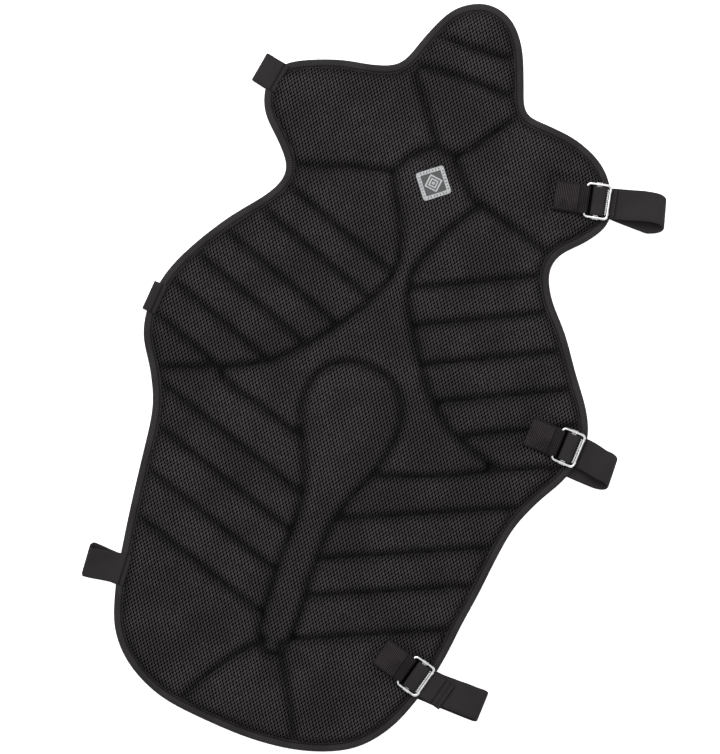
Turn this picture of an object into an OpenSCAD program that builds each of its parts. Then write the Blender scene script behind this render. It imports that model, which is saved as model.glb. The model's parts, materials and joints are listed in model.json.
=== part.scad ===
// Quilted chest protector: a foam panel under a mesh cover, with three elastic
// straps that run behind it and close in wire buckles at its right side.
// The panel lies flat, its neck end along +Y and its outer face up.

/* [Panel] */
// Width of the panel across its widest ribs
panel_w = 396; // [330:1:480]
// Length of the panel from the neck tip to the hem
panel_l = 665; // [560:1:800]
// Thickness of the foam pads
foam_t = 7; // [5:0.5:12]
// Thickness of the mesh cover
cover_t = 1.2; // [0.8:0.1:1.6]
// Thickness of the back lining
lining_t = 1; // [0.6:0.1:2]
// Width of the quilting groove between two foam pads
seam_w = 6; // [5:0.5:9]
// Radius that rounds the foam pads' corners
pad_corner_r = 3; // [1:0.5:5]

/* [Binding] */
// Visible width of the edge binding
binding_w = 8; // [6:0.5:14]
// Thickness of the binding tape
binding_t = 0.8; // [0.4:0.1:1.2]
// Pressed margin between the binding and the foam
margin_w = 2.5; // [1:0.5:6]

/* [Badge] */
// Side of the square badge
badge_w = 25; // [16:1:32]
// Thickness of the badge
badge_t = 1.2; // [0.8:0.1:3]
// Turn of the badge on the panel
badge_turn = 35; // [0:1:90]

/* [Straps] */
// Width of the elastic straps
strap_w = 24.5; // [18:0.5:32]
// Thickness of the elastic straps
strap_t = 1.5; // [1:0.1:1.8]
// Length of the strap's sewn end on the left binding
sewn_l = 7; // [6:1:14]

/* [Anchors] */
// Width of the webbing that holds each buckle
web_w = 25.5; // [18:0.5:33]
// Thickness of that webbing
web_t = 1.6; // [1.2:0.1:2]
// Length of the webbing patch behind the buckle
web_l = 27; // [22:1:40]
// Depth that the sewn webbing presses into the foam
press_depth = 3; // [2:0.5:4]

/* [Buckles] */
// Wire diameter of the buckle frame
wire_d = 2.4; // [2:0.1:2.8]
// Length of the buckle frame between wire centres
buckle_l = 20; // [19:0.5:26]
// Distance from the buckle's end wire to the panel's edge
buckle_inset = 4; // [2:0.5:8]
// Radius of the frame's corners at the wire centre
buckle_corner_r = 3; // [2.6:0.1:4]
// Width of the sliding bar
bar_w = 4; // [3:0.5:5]
// Thickness of the sliding bar
bar_t = 1.2; // [1:0.1:1.6]
// Number of grip teeth on the end wire
tooth_count = 12; // [6:1:14]

/* [Hidden] */

// Colours
mesh_colour = [0.15, 0.15, 0.16];
lining_colour = [0.10, 0.10, 0.11];
binding_colour = [0.20, 0.19, 0.20];
foam_colour = [0.30, 0.30, 0.32];
strap_colour = [0.17, 0.17, 0.18];
web_colour = [0.20, 0.19, 0.18];
nickel_colour = [0.80, 0.80, 0.82];
badge_colour = [0.65, 0.66, 0.68];
thread_colour = [0.12, 0.12, 0.13];

// Clearances
layer_gap = 0.2;
wire_gap = 0.05;
strap_side_gap = 0.85;
pad_gap = 0.2;

// The outline's and the seams' points are drawn for a panel of this size
drawn_w = 396;
drawn_l = 665;
stretch_x = panel_w / drawn_w;
stretch_y = panel_l / drawn_l;

// Half widths reach 192 to the left of the panel's axis and 204 to its right
outline_points = [
    [8, 372], [32, 366], [49, 345], [60, 315], [69, 292], [90, 288], [118, 283],
    [145, 269], [161, 246], [165, 222], [151, 201], [134, 185], [129, 168],
    [138, 146], [158, 121], [177, 91], [196, 62], [204, 36], [196, 3],
    [180, -23], [166, -52], [159, -84], [154, -115], [148, -145], [142, -180],
    [131, -217], [115, -250], [90, -275], [52, -289], [8, -293],
    [-40, -289], [-82, -281], [-115, -263], [-136, -238], [-146, -205],
    [-151, -170], [-155, -130], [-158, -90], [-162, -46], [-174, -15],
    [-188, 10], [-192, 36], [-186, 68], [-171, 98], [-148, 131], [-121, 162],
    [-113, 184], [-126, 204], [-146, 226], [-152, 250], [-144, 269],
    [-124, 280], [-95, 289], [-68, 293], [-46, 302], [-33, 331], [-17, 359]
];
spline_steps = 3;

// Quilting seams, each a curve through its points
neck_upper_seam = [[-44, 335], [8, 331], [64, 332]];
neck_lower_seam = [[-52, 302], [7, 304], [76, 299]];
neck_left_seam = [[-52, 316], [-34, 297], [-19, 277], [-3, 254], [5, 241]];
neck_right_seam = [[5, 241], [20, 238], [34, 248], [47, 266], [64, 287], [76, 300]];
badge_left_seam = [[5, 241], [-14, 227], [-24, 210]];
badge_right_seam = [[20, 238], [34, 222], [46, 208], [57, 204]];
left_shoulder_seam = [[-24, 210], [-38, 207], [-64, 202], [-83, 196], [-104, 191], [-128, 188]];
right_shoulder_seam = [[57, 204], [82, 196], [113, 185], [145, 172]];
left_petal_seam = [
    [-24, 210], [-18, 193], [-6, 170], [1, 148], [2, 127], [-11, 97], [-35, 64],
    [-56, 41], [-77, 23], [-98, 12], [-119, 4], [-164, -10], [-200, -20]
];
right_petal_seam = [
    [57, 204], [39, 181], [25, 153], [17, 128], [22, 104], [35, 79], [49, 56],
    [64, 34], [80, 18], [95, 8], [115, -1], [142, -8]
];
left_belly_seam = [[-119, 4], [-105, -7], [-75, -17], [-36, -31]];
right_belly_seam = [[36, -46], [96, -27], [142, -8], [220, 22]];
left_hem_seam = [[-8, -206], [-32, -229], [-52, -257], [-76, -300]];
right_hem_seam = [[3, -204], [10, -221], [22, -244], [37, -277], [44, -310]];
spine_outline = [
    [2, 44], [28, 37], [43, 17], [46, -8], [38, -40], [24, -70], [15, -100],
    [12, -140], [12, -185], [8, -212], [-3, -218], [-14, -211], [-18, -185],
    [-18, -140], [-15, -95], [-20, -62], [-33, -28], [-40, -2], [-36, 23], [-20, 39]
];

// Ribs are straight and slope down towards the axis: their heights are taken
// at rib_ref_x on either side
rib_ref_x = 100;
rib_reach = 240;
left_chest_ribs = [168, 136, 98, 65, 31, -3];
right_chest_ribs = [152, 117, 80, 44, 10];
left_belly_ribs = [-47, -80, -117, -156];
right_belly_ribs = [-59, -94, -128, -167];
chest_rib_slope = 0.42;
belly_rib_slope = 0.385;

// Strap levels, top to bottom: heights on the panel, turns, and reaches past
// the panel's edge, or past the end wire for the tails
levels = [0, 1, 2];
buckle_y = [239, 27.5, -201];
buckle_turn = [9, -5, -18];
loop_reach = [45, 29, 49.5];
loop_y = [244, 18, -207];
left_end_y = [259, 45.5, -186.5];
loop_turn = [11, -3, -5];
tail_l = [7, 3, 23];
left_turn = [167, 173, 180];
left_reach = [12, 3, 28];

badge_place = [11, 210];

// Heights in the stack, from the surface it lies on
binding_low_z = strap_t + layer_gap;
panel_z = binding_low_z + binding_t;
foam_z = panel_z + lining_t;
foam_top_z = foam_z + foam_t;
cover_top_z = foam_top_z + cover_t;
cover_low_top_z = foam_z + cover_t;
binding_top_z = cover_low_top_z + binding_t;
pressed_z = cover_top_z - press_depth;
wire_r = wire_d / 2;
wire_z = pressed_z + web_t + wire_gap + wire_r;

// Buckle sizes that follow the strap and the wire
side_wire_v = strap_w / 2 + strap_side_gap + wire_r;
sleeve_wall = 0.45;
sleeve_r = wire_r + wire_gap + sleeve_wall;
flange_r = side_wire_v - strap_w / 2 - layer_gap / 2;
flange_t = 0.7;
sleeve_l = bar_w + 1;
bar_u = buckle_l / 2 - bar_w / 2;
clip_wall = 0.5;
clip_l = 2;
comb_t = 0.9;
comb_base_w = 0.5;
tooth_w = 0.9;
straight_w = 2 * (side_wire_v - buckle_corner_r);
comb_l = straight_w - layer_gap;

// Strap layers where they pass under the end wire
tail_z = wire_z - wire_r - clip_wall - layer_gap - strap_t / 2;
feed_z = tail_z - strap_t - layer_gap;
wrap_r = bar_t / 2 + layer_gap / 2 + strap_t / 2;
wrap_slack = 3;
loop_top_z = feed_z;
under_z = strap_t / 2;
left_top_z = binding_top_z + layer_gap / 2 + strap_t / 2;
fold_steps = 8;
under_steps = 10;

// Stitches
stitch_l = 2.2;
stitch_pitch = 3.2;
thread_d = 0.5;
stitch_inset = 2.6;

// A large number that reaches past every edge
far = 2000;

// Splines and strokes
function scaled(points) = [for (p = points) [p[0] * stretch_x, p[1] * stretch_y]];
function bend(a, b, c, d, t) =
    0.5 * (2 * b + (c - a) * t + (2 * a - 5 * b + 4 * c - d) * t * t
    + (3 * b - a - 3 * c + d) * t * t * t);
function closed_curve(points) =
    let (n = len(points))
    [for (i = [0:n - 1], s = [0:spline_steps - 1])
        bend(points[(i + n - 1) % n], points[i], points[(i + 1) % n],
            points[(i + 2) % n], s / spline_steps)];
function open_curve(points) =
    let (n = len(points))
    [for (i = [0:n - 2], s = [0:spline_steps - 1])
        bend(points[max(i - 1, 0)], points[i], points[i + 1],
            points[min(i + 2, n - 1)], s / spline_steps),
        points[n - 1]];
function unit(v) = v / norm(v);
function heading(points, i) = unit(points[min(i + 1, len(points) - 1)] - points[max(i - 1, 0)]);
function stroke(points, w) =
    let (n = len(points))
    concat(
        [for (i = [0:n - 1]) let (h = heading(points, i)) points[i] + [-h[1], h[0]] * w / 2],
        [for (i = [n - 1:-1:0]) let (h = heading(points, i)) points[i] - [-h[1], h[0]] * w / 2]
    );

outline = closed_curve(scaled(outline_points));

// Furthest x of the outline at height y, on the right (side 1) or left (side -1)
function edge_x(y, side) =
    let (n = len(outline))
    side * max([for (i = [0:n - 1])
        let (a = outline[i], b = outline[(i + 1) % n])
        if ((a[1] - y) * (b[1] - y) <= 0 && a[1] != b[1])
            side * (a[0] + (b[0] - a[0]) * (y - a[1]) / (b[1] - a[1]))]);

// Places of each level's buckle, loop and left end
function along(turn) = [cos(turn), sin(turn)];
function end_wire_at(i) =
    let (y = buckle_y[i] * stretch_y)
    [edge_x(y, 1) - buckle_inset, y];
function hinge_at(i) = end_wire_at(i) - buckle_l * along(buckle_turn[i]);
function loop_at(i) =
    let (y = loop_y[i] * stretch_y)
    [edge_x(buckle_y[i] * stretch_y, 1) + loop_reach[i], y];
function left_edge_at(i) =
    let (y = left_end_y[i] * stretch_y)
    [edge_x(y, -1), y];
function left_tip_at(i) = left_edge_at(i) + left_reach[i] * along(left_turn[i]);
function left_seam_at(i) = left_edge_at(i) - sewn_l * along(left_turn[i]);

// The origin is under the middle of the whole object's box
right_end = max([for (i = levels) loop_at(i)[0]]);
left_end = min([for (i = levels) left_tip_at(i)[0]]);
top_end = max([for (p = outline) p[1]]);
bottom_end = min([for (p = outline) p[1]]);
middle = [(right_end + left_end) / 2, (top_end + bottom_end) / 2];

module centred() {
    translate([-middle[0], -middle[1], 0]) children();
}

// Panel shapes in the plane
module outer_shape() {
    polygon(outline);
}

module body_shape() {
    offset(delta = -binding_t) outer_shape();
}

module seam(points) {
    polygon(stroke(open_curve(scaled(points)), seam_w));
}

module rib(height, slope, side) {
    rise = slope * (rib_reach - rib_ref_x);
    fall = slope * rib_ref_x;
    ends = [[0, height - fall], [side * rib_reach, height + rise]];
    polygon(stroke(scaled(ends), seam_w));
}

module ribs(heights, slope, side) {
    for (h = heights) rib(h, slope, side);
}

module zone(points) {
    polygon(scaled(points));
}

// Zones of the panel, each bounded by the middles of its seams
module neck_zone() {
    zone(concat(open_curve(neck_left_seam), open_curve(neck_right_seam), [[120, 420], [-90, 420]]));
}

module left_shoulder_zone() {
    zone(concat(open_curve(neck_left_seam), open_curve(badge_left_seam),
        open_curve(left_shoulder_seam), [[-250, 188], [-250, 316]]));
}

module right_shoulder_zone() {
    zone(concat([for (p = open_curve(neck_right_seam)) if (p[0] >= 20) p], [[300, 300], [300, 172]],
        [for (i = [3:-1:0]) right_shoulder_seam[i]], [for (i = [3:-1:0]) badge_right_seam[i]]));
}

module left_chest_zone() {
    zone(concat(open_curve(left_petal_seam), [[-250, -20], [-250, 188]],
        [for (i = [5:-1:0]) left_shoulder_seam[i]]));
}

module right_chest_zone() {
    zone(concat(open_curve(right_petal_seam), [[220, 22], [300, 172]],
        [for (i = [3:-1:0]) right_shoulder_seam[i]]));
}

module spine_zone() {
    polygon(closed_curve(scaled(spine_outline)));
}

left_last_rib = left_belly_ribs[3];
right_last_rib = right_belly_ribs[3];
rib_fall = belly_rib_slope * rib_ref_x;
rib_rise = belly_rib_slope * (rib_reach - rib_ref_x);

module left_belly_zone() {
    difference() {
        zone(concat([[-250, -34], [-200, -20], [-164, -10]], open_curve(left_belly_seam),
            [[0, -45], [0, left_last_rib - rib_fall], [-rib_reach, left_last_rib + rib_rise]]));
        spine_zone();
    }
}

module right_belly_zone() {
    difference() {
        zone(concat([[0, -60]], open_curve(right_belly_seam),
            [[rib_reach, right_last_rib + rib_rise], [0, right_last_rib - rib_fall]]));
        spine_zone();
    }
}

module left_hem_zone() {
    difference() {
        zone(concat([[-rib_reach, left_last_rib + rib_rise], [0, left_last_rib - rib_fall]],
            open_curve(left_hem_seam), [[-76, -360], [-240, -360]]));
        spine_zone();
    }
}

module right_hem_zone() {
    difference() {
        zone(concat([[rib_reach, right_last_rib + rib_rise], [0, right_last_rib - rib_fall]],
            open_curve(right_hem_seam), [[44, -360], [240, -360]]));
        spine_zone();
    }
}

module centre_hem_zone() {
    difference() {
        zone(concat(open_curve(left_hem_seam), [[-76, -360], [44, -360]],
            [for (i = [4:-1:0]) right_hem_seam[i]]));
        spine_zone();
    }
}

module centre_zone() {
    difference() {
        square(far, center = true);
        neck_zone();
        left_shoulder_zone();
        right_shoulder_zone();
        left_chest_zone();
        right_chest_zone();
        spine_zone();
        left_belly_zone();
        right_belly_zone();
        left_hem_zone();
        right_hem_zone();
        centre_hem_zone();
    }
}

// Grooves of the whole quilting
module seams() {
    seam(neck_upper_seam);
    seam(neck_lower_seam);
    seam(neck_left_seam);
    seam(neck_right_seam);
    seam(badge_left_seam);
    seam(badge_right_seam);
    seam(left_shoulder_seam);
    seam(right_shoulder_seam);
    seam(left_petal_seam);
    seam(right_petal_seam);
    seam(left_belly_seam);
    seam(right_belly_seam);
    seam(left_hem_seam);
    seam(right_hem_seam);
    difference() {
        offset(delta = seam_w / 2) spine_zone();
        offset(delta = -seam_w / 2) spine_zone();
    }
    intersection() {
        left_chest_zone();
        ribs(left_chest_ribs, chest_rib_slope, -1);
    }
    intersection() {
        right_chest_zone();
        ribs(right_chest_ribs, chest_rib_slope, 1);
    }
    difference() {
        ribs(left_belly_ribs, belly_rib_slope, -1);
        spine_zone();
    }
    difference() {
        ribs(right_belly_ribs, belly_rib_slope, 1);
        spine_zone();
    }
}

// The foam pads that lie in the given zone, grown by grow
module pads(grow) {
    offset(delta = grow) offset(r = pad_corner_r, $fn = 12) offset(delta = -pad_corner_r)
        intersection() {
            offset(delta = -binding_w - margin_w) outer_shape();
            difference() {
                children();
                seams();
            }
        }
}

// Blocks over each buckle where the sewn webbing presses the foam down, and
// deeper where the strap dives under the end wire
module pressed_blocks(low_z, grow) {
    half = max(web_w / 2, side_wire_v + flange_r) + pad_gap + grow;
    deeper = pressed_z - feed_z + strap_t / 2 + layer_gap;
    for (i = levels)
        translate([hinge_at(i)[0], hinge_at(i)[1], low_z]) rotate(buckle_turn[i]) {
            translate([-web_l - pad_gap - grow, -half, 0])
                cube([web_l + buckle_l * 3, 2 * half, foam_t + cover_t]);
            translate([dive_u - bar_w / 2 - grow, -half, -deeper])
                cube([buckle_l * 3, 2 * half, foam_t + cover_t]);
        }
}

module foam() {
    centred() difference() {
        translate([0, 0, foam_z]) linear_extrude(foam_t) pads(0) children();
        pressed_blocks(pressed_z - cover_t, cover_t);
    }
}

module neck_foam() {
    color(foam_colour) foam() neck_zone();
}

module left_shoulder_foam() {
    color(foam_colour) foam() left_shoulder_zone();
}

module right_shoulder_foam() {
    color(foam_colour) foam() right_shoulder_zone();
}

module left_chest_foam() {
    color(foam_colour) foam() left_chest_zone();
}

module right_chest_foam() {
    color(foam_colour) foam() right_chest_zone();
}

module centre_foam() {
    color(foam_colour) foam() centre_zone();
}

module spine_foam() {
    color(foam_colour) foam() spine_zone();
}

module left_belly_foam() {
    color(foam_colour) foam() left_belly_zone();
}

module right_belly_foam() {
    color(foam_colour) foam() right_belly_zone();
}

module left_hem_foam() {
    color(foam_colour) foam() left_hem_zone();
}

module right_hem_foam() {
    color(foam_colour) foam() right_hem_zone();
}

module centre_hem_foam() {
    color(foam_colour) foam() centre_hem_zone();
}

// Sheets around the foam
module back_lining() {
    color(lining_colour) centred()
        translate([0, 0, panel_z]) linear_extrude(lining_t) body_shape();
}

module front_mesh_cover() {
    cap_t = foam_t + cover_t;
    color(mesh_colour) centred() difference() {
        union() {
            translate([0, 0, foam_z]) linear_extrude(cover_t) body_shape();
            difference() {
                translate([0, 0, foam_z]) linear_extrude(cap_t)
                    pads(cover_t) square(far, center = true);
                pressed_blocks(pressed_z, 0);
            }
        }
        difference() {
            translate([0, 0, foam_z - pad_gap]) linear_extrude(foam_t + pad_gap)
                pads(0) square(far, center = true);
            pressed_blocks(pressed_z - cover_t, cover_t);
        }
    }
}

module edge_binding() {
    color(binding_colour) centred() {
        translate([0, 0, binding_low_z]) linear_extrude(binding_top_z - binding_low_z)
            difference() {
                outer_shape();
                body_shape();
            }
        for (z = [binding_low_z, cover_low_top_z])
            translate([0, 0, z]) linear_extrude(binding_t) difference() {
                outer_shape();
                offset(delta = -binding_w) outer_shape();
            }
    }
}

module badge() {
    corner = 2;
    color(badge_colour) centred()
        translate([badge_place[0] * stretch_x, badge_place[1] * stretch_y, cover_top_z])
        rotate(badge_turn) linear_extrude(badge_t)
        offset(r = corner, $fn = 32) square(badge_w - 2 * corner, center = true);
}

// Elastic straps: each one band swept along rings of [x, y, z, turn], where
// turn is the heading that its width is square to
function placed(i, u, z) =
    let (p = hinge_at(i) + u * along(buckle_turn[i]))
    [p[0], p[1], z, buckle_turn[i]];
function mixed(a, b, t) = a + (b - a) * t;

wrap_low_u = bar_u - wrap_r / 2;
dive_u = bar_u + bar_w + wrap_slack;
under_wire_u = buckle_l - wire_r - wire_gap - comb_base_w - tooth_w;

function buckle_rings(i) = concat(
    [placed(i, buckle_l + tail_l[i], tail_z),
        placed(i, buckle_l + wire_r, tail_z),
        placed(i, under_wire_u, tail_z),
        placed(i, dive_u, wire_z + wrap_r)],
    [for (s = [0:fold_steps])
        let (a = 90 + 180 * s / fold_steps)
        placed(i, wrap_low_u + wrap_r * cos(a), wire_z + wrap_r * sin(a))],
    [placed(i, dive_u, wire_z - wrap_r),
        placed(i, under_wire_u, feed_z),
        placed(i, buckle_l + wire_r, feed_z)]
);
function loop_rings(i) =
    let (
        start = placed(i, buckle_l + buckle_inset + wire_r, feed_z),
        r = (loop_top_z - under_z) / 2,
        c = loop_at(i) - r * along(loop_turn[i])
    )
    concat(
        [for (t = [0, 0.3, 0.6]) [
            mixed(start[0], c[0], t), mixed(start[1], c[1], t),
            mixed(feed_z, loop_top_z, t), mixed(start[3], loop_turn[i], t)]],
        [for (s = [0:fold_steps])
            let (
                a = 90 - 180 * s / fold_steps,
                p = c + r * cos(a) * along(loop_turn[i])
            )
            [p[0], p[1], under_z + r + r * sin(a), loop_turn[i]]]
    );
function under_rings(i) =
    let (
        r = (left_top_z - under_z) / 2,
        from = loop_at(i),
        to = left_tip_at(i) - r * along(left_turn[i])
    )
    [for (s = [1:under_steps - 1])
        let (t = s / under_steps)
        [mixed(from[0], to[0], t), mixed(from[1], to[1], t), under_z,
            mixed(loop_turn[i], left_turn[i] - 180, t)]];
function left_rings(i) =
    let (
        r = (left_top_z - under_z) / 2,
        out = along(left_turn[i]),
        c = left_tip_at(i) - r * out,
        seam_end = left_seam_at(i),
        turn = left_turn[i] - 180
    )
    concat(
        [for (s = [0:fold_steps])
            let (
                a = -90 + 180 * s / fold_steps,
                p = c + r * cos(a) * out
            )
            [p[0], p[1], under_z + r + r * sin(a), turn]],
        [[seam_end[0], seam_end[1], left_top_z, turn]]
    );

module band(rings, w, t) {
    n = len(rings);
    centre = [for (g = rings) [g[0], g[1], g[2]]];
    side = [for (g = rings) [-sin(g[3]), cos(g[3]), 0]];
    up = [for (i = [0:n - 1]) unit(cross(heading(centre, i), side[i]))];
    points = [for (i = [0:n - 1], c = [[1, 1], [-1, 1], [-1, -1], [1, -1]])
        centre[i] + side[i] * c[0] * w / 2 + up[i] * c[1] * t / 2];
    sides = [for (i = [0:n - 2], k = [0:3])
        let (
            a = 4 * i + k,
            b = 4 * i + (k + 1) % 4
        )
        each [[a, b + 4, b], [a, a + 4, b + 4]]];
    ends = [[0, 1, 2, 3], [for (k = [3:-1:0]) 4 * (n - 1) + k]];
    polyhedron(points, concat(sides, ends));
}

module strap(i) {
    color(strap_colour) centred()
        band(concat(buckle_rings(i), loop_rings(i), under_rings(i), left_rings(i)), strap_w, strap_t);
}

module top_strap() {
    strap(0);
}

module middle_strap() {
    strap(1);
}

module bottom_strap() {
    strap(2);
}

// Hardware in its own frame: u runs out from the hinge wire along X, v along Y
module at_buckle(i) {
    centred() translate([hinge_at(i)[0], hinge_at(i)[1], wire_z]) rotate(buckle_turn[i]) children();
}

// Extrudes a profile drawn in (u, z) by w, centred across the strap
module across(w) {
    rotate([90, 0, 0]) linear_extrude(w, center = true) children();
}

// Outline of the webbing's two sewn layers, seen along the hinge wire
module sewn_layers(inner_r, outer_r) {
    bend_u = -9;
    translate([-web_l, -outer_r]) square([web_l, web_t]);
    polygon([
        [0, inner_r], [0, outer_r],
        [bend_u, web_t - inner_r], [-web_l, web_t - inner_r],
        [-web_l, -inner_r], [bend_u, -inner_r]
    ]);
}

// Webbing folded round the hinge wire; it narrows there to clear the corners
// of the buckle as it turns
module anchor(i) {
    inner_r = wire_r + wire_gap;
    outer_r = inner_r + web_t;
    color(web_colour) at_buckle(i) {
        across(straight_w) {
            difference() {
                circle(outer_r, $fn = 48);
                circle(inner_r, $fn = 48);
                translate([-outer_r - 1, -outer_r - 1]) square([outer_r + 1, 2 * outer_r + 2]);
            }
            sewn_layers(inner_r, outer_r);
        }
        across(web_w) difference() {
            sewn_layers(inner_r, outer_r);
            translate([-inner_r, -outer_r - 1]) square([inner_r + 1, 2 * outer_r + 2]);
        }
    }
}

module top_anchor() {
    anchor(0);
}

module middle_anchor() {
    anchor(1);
}

module bottom_anchor() {
    anchor(2);
}

module wire(l) {
    cylinder(r = wire_r, h = l, center = true, $fn = 32);
}

module corner(u, v, turn) {
    translate([u, v, 0]) rotate(turn)
        rotate_extrude(angle = 90, $fn = 32) translate([buckle_corner_r, 0]) circle(wire_r, $fn = 32);
}

module buckle_frame(i) {
    r = buckle_corner_r;
    across_l = 2 * (side_wire_v - r);
    along_l = buckle_l - 2 * r;
    color(nickel_colour) at_buckle(i) {
        for (u = [0, buckle_l]) translate([u, 0, 0]) rotate([90, 0, 0]) wire(across_l);
        for (v = [-side_wire_v, side_wire_v]) translate([buckle_l / 2, v, 0]) rotate([0, 90, 0]) wire(along_l);
        corner(buckle_l - r, side_wire_v - r, 0);
        corner(r, side_wire_v - r, 90);
        corner(r, r - side_wire_v, 180);
        corner(buckle_l - r, r - side_wire_v, 270);
    }
}

module top_buckle_frame() {
    buckle_frame(0);
}

module middle_buckle_frame() {
    buckle_frame(1);
}

module bottom_buckle_frame() {
    buckle_frame(2);
}

// Bar with a crimped sleeve on each side wire
module slide_bar(i) {
    bar_l = 2 * (side_wire_v - wire_r - wire_gap);
    color(nickel_colour) at_buckle(i) translate([bar_u + bar_w / 2, 0, 0]) difference() {
        union() {
            cube([bar_w, 2 * side_wire_v, bar_t], center = true);
            for (v = [-side_wire_v, side_wire_v]) translate([0, v, 0]) rotate([0, 90, 0]) {
                cylinder(r = sleeve_r, h = sleeve_l, center = true, $fn = 32);
                for (e = [-1, 1]) translate([0, 0, e * (sleeve_l - flange_t) / 2])
                    cylinder(r = flange_r, h = flange_t, center = true, $fn = 32);
            }
        }
        for (v = [-side_wire_v, side_wire_v]) translate([0, v, 0]) rotate([0, 90, 0])
            cylinder(r = wire_r + wire_gap, h = sleeve_l + 2, center = true, $fn = 32);
    }
}

module top_slide_bar() {
    slide_bar(0);
}

module middle_slide_bar() {
    slide_bar(1);
}

module bottom_slide_bar() {
    slide_bar(2);
}

// Toothed strip that two clips hold on the end wire
module grip_comb(i) {
    pitch = comb_l / tooth_count;
    face_u = buckle_l - wire_r - wire_gap;
    base_u = face_u - comb_base_w;
    teeth = [for (k = [0:tooth_count - 1], c = [[0, 0], [0.5, 1]])
        [base_u - tooth_w * c[1], -comb_l / 2 + (k + c[0]) * pitch]];
    clip_r = wire_r + wire_gap + clip_wall;
    color(nickel_colour) at_buckle(i) {
        translate([0, 0, -comb_t / 2]) linear_extrude(comb_t)
            polygon(concat(teeth, [[base_u, comb_l / 2], [face_u, comb_l / 2], [face_u, -comb_l / 2]]));
        for (e = [-1, 1]) translate([buckle_l, e * (comb_l - clip_l) / 2, 0]) rotate([90, 0, 0])
            difference() {
                cylinder(r = clip_r, h = clip_l, center = true, $fn = 32);
                cylinder(r = wire_r + wire_gap, h = clip_l + 2, center = true, $fn = 32);
            }
    }
}

module top_grip_comb() {
    grip_comb(0);
}

module middle_grip_comb() {
    grip_comb(1);
}

module bottom_grip_comb() {
    grip_comb(2);
}

// A row of stitches from a to b in the plane, lying on height z
module stitch_row(a, b, z) {
    l = norm(b - a);
    n = floor(l / stitch_pitch);
    turn = atan2(b[1] - a[1], b[0] - a[0]);
    translate([a[0], a[1], z]) rotate(turn)
        for (k = [0:n - 1]) translate([(k + 0.5) * l / n - stitch_l / 2, -thread_d / 2, 0])
            cube([stitch_l, thread_d, thread_d / 2]);
}

module anchor_stitching() {
    u0 = -web_l + stitch_inset;
    u1 = -10;
    v = web_w / 2 - stitch_inset;
    top = web_t - wire_r - wire_gap;
    color(thread_colour) for (i = levels) at_buckle(i) {
        stitch_row([u0, -v], [u0, v], top);
        stitch_row([u1, -v], [u1, v], top);
        stitch_row([u0 + 1, -v], [u1 - 1, -v], top);
        stitch_row([u0 + 1, v], [u1 - 1, v], top);
    }
}

module tail_stitching() {
    v = strap_w / 2 - stitch_inset / 2;
    hem_in = 1;
    color(thread_colour) for (i = levels) at_buckle(i)
        translate([buckle_l + tail_l[i] - hem_in, 0, tail_z + strap_t / 2 - wire_z])
            stitch_row([0, -v], [0, v], 0);
}

module strap_end_stitching() {
    v = strap_w / 2 - stitch_inset / 2;
    color(thread_colour) for (i = levels) centred()
        translate([left_seam_at(i)[0], left_seam_at(i)[1], left_top_z + strap_t / 2])
        rotate(left_turn[i]) stitch_row([stitch_inset, -v], [stitch_inset, v], 0);
}

back_lining();
front_mesh_cover();
edge_binding();
badge();
neck_foam();
left_shoulder_foam();
right_shoulder_foam();
left_chest_foam();
right_chest_foam();
centre_foam();
spine_foam();
left_belly_foam();
right_belly_foam();
left_hem_foam();
right_hem_foam();
centre_hem_foam();
top_strap();
middle_strap();
bottom_strap();
top_anchor();
middle_anchor();
bottom_anchor();
top_buckle_frame();
middle_buckle_frame();
bottom_buckle_frame();
top_slide_bar();
middle_slide_bar();
bottom_slide_bar();
top_grip_comb();
middle_grip_comb();
bottom_grip_comb();
anchor_stitching();
tail_stitching();
strap_end_stitching();
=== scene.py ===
import json
import math

import bmesh
import bpy
import numpy as np
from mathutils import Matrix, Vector, geometry


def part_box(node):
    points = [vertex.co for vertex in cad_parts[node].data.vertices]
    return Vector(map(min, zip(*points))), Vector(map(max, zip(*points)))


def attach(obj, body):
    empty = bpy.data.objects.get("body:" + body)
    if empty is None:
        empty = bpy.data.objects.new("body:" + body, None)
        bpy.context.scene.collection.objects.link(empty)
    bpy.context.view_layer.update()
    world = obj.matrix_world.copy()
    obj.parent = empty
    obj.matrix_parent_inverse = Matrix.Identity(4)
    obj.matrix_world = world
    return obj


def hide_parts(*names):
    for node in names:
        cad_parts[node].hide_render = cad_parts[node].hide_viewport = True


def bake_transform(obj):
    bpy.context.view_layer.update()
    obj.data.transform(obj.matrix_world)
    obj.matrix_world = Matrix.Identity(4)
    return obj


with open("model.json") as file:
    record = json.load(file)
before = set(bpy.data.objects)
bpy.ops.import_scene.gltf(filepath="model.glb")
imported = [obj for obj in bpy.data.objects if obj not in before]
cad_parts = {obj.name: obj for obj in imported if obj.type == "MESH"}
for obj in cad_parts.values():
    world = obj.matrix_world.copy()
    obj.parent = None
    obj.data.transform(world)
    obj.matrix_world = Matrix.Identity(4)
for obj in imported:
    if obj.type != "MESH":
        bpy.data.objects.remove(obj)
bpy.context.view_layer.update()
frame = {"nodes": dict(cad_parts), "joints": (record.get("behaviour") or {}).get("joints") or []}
nodes = frame["nodes"]
joints = {j["name"]: j for j in frame["joints"]}
mm = 0.001
print("frame loaded:", len(nodes), "nodes")


def shaped(low, high, x):
    t = np.clip((x - low) / (high - low), 0, 1)
    return t * t * (3 - 2 * t)


def ripple(s, length, scale, seed):
    # smooth, repeatable unevenness along a run of that length; it closes on itself
    rng = np.random.default_rng(seed)
    total = np.zeros_like(s)
    base = max(2, int(length / scale))
    for _ in range(5):
        cycles = max(1, int(base * rng.uniform(0.4, 1.6)))
        total += np.sin(2 * math.pi * (cycles * s / length + rng.uniform())) * rng.uniform(0.5, 1)
    return total / 3


def linked(name, data):
    made = bpy.data.objects.new(name, data)
    bpy.context.scene.collection.objects.link(made)
    return made


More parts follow.
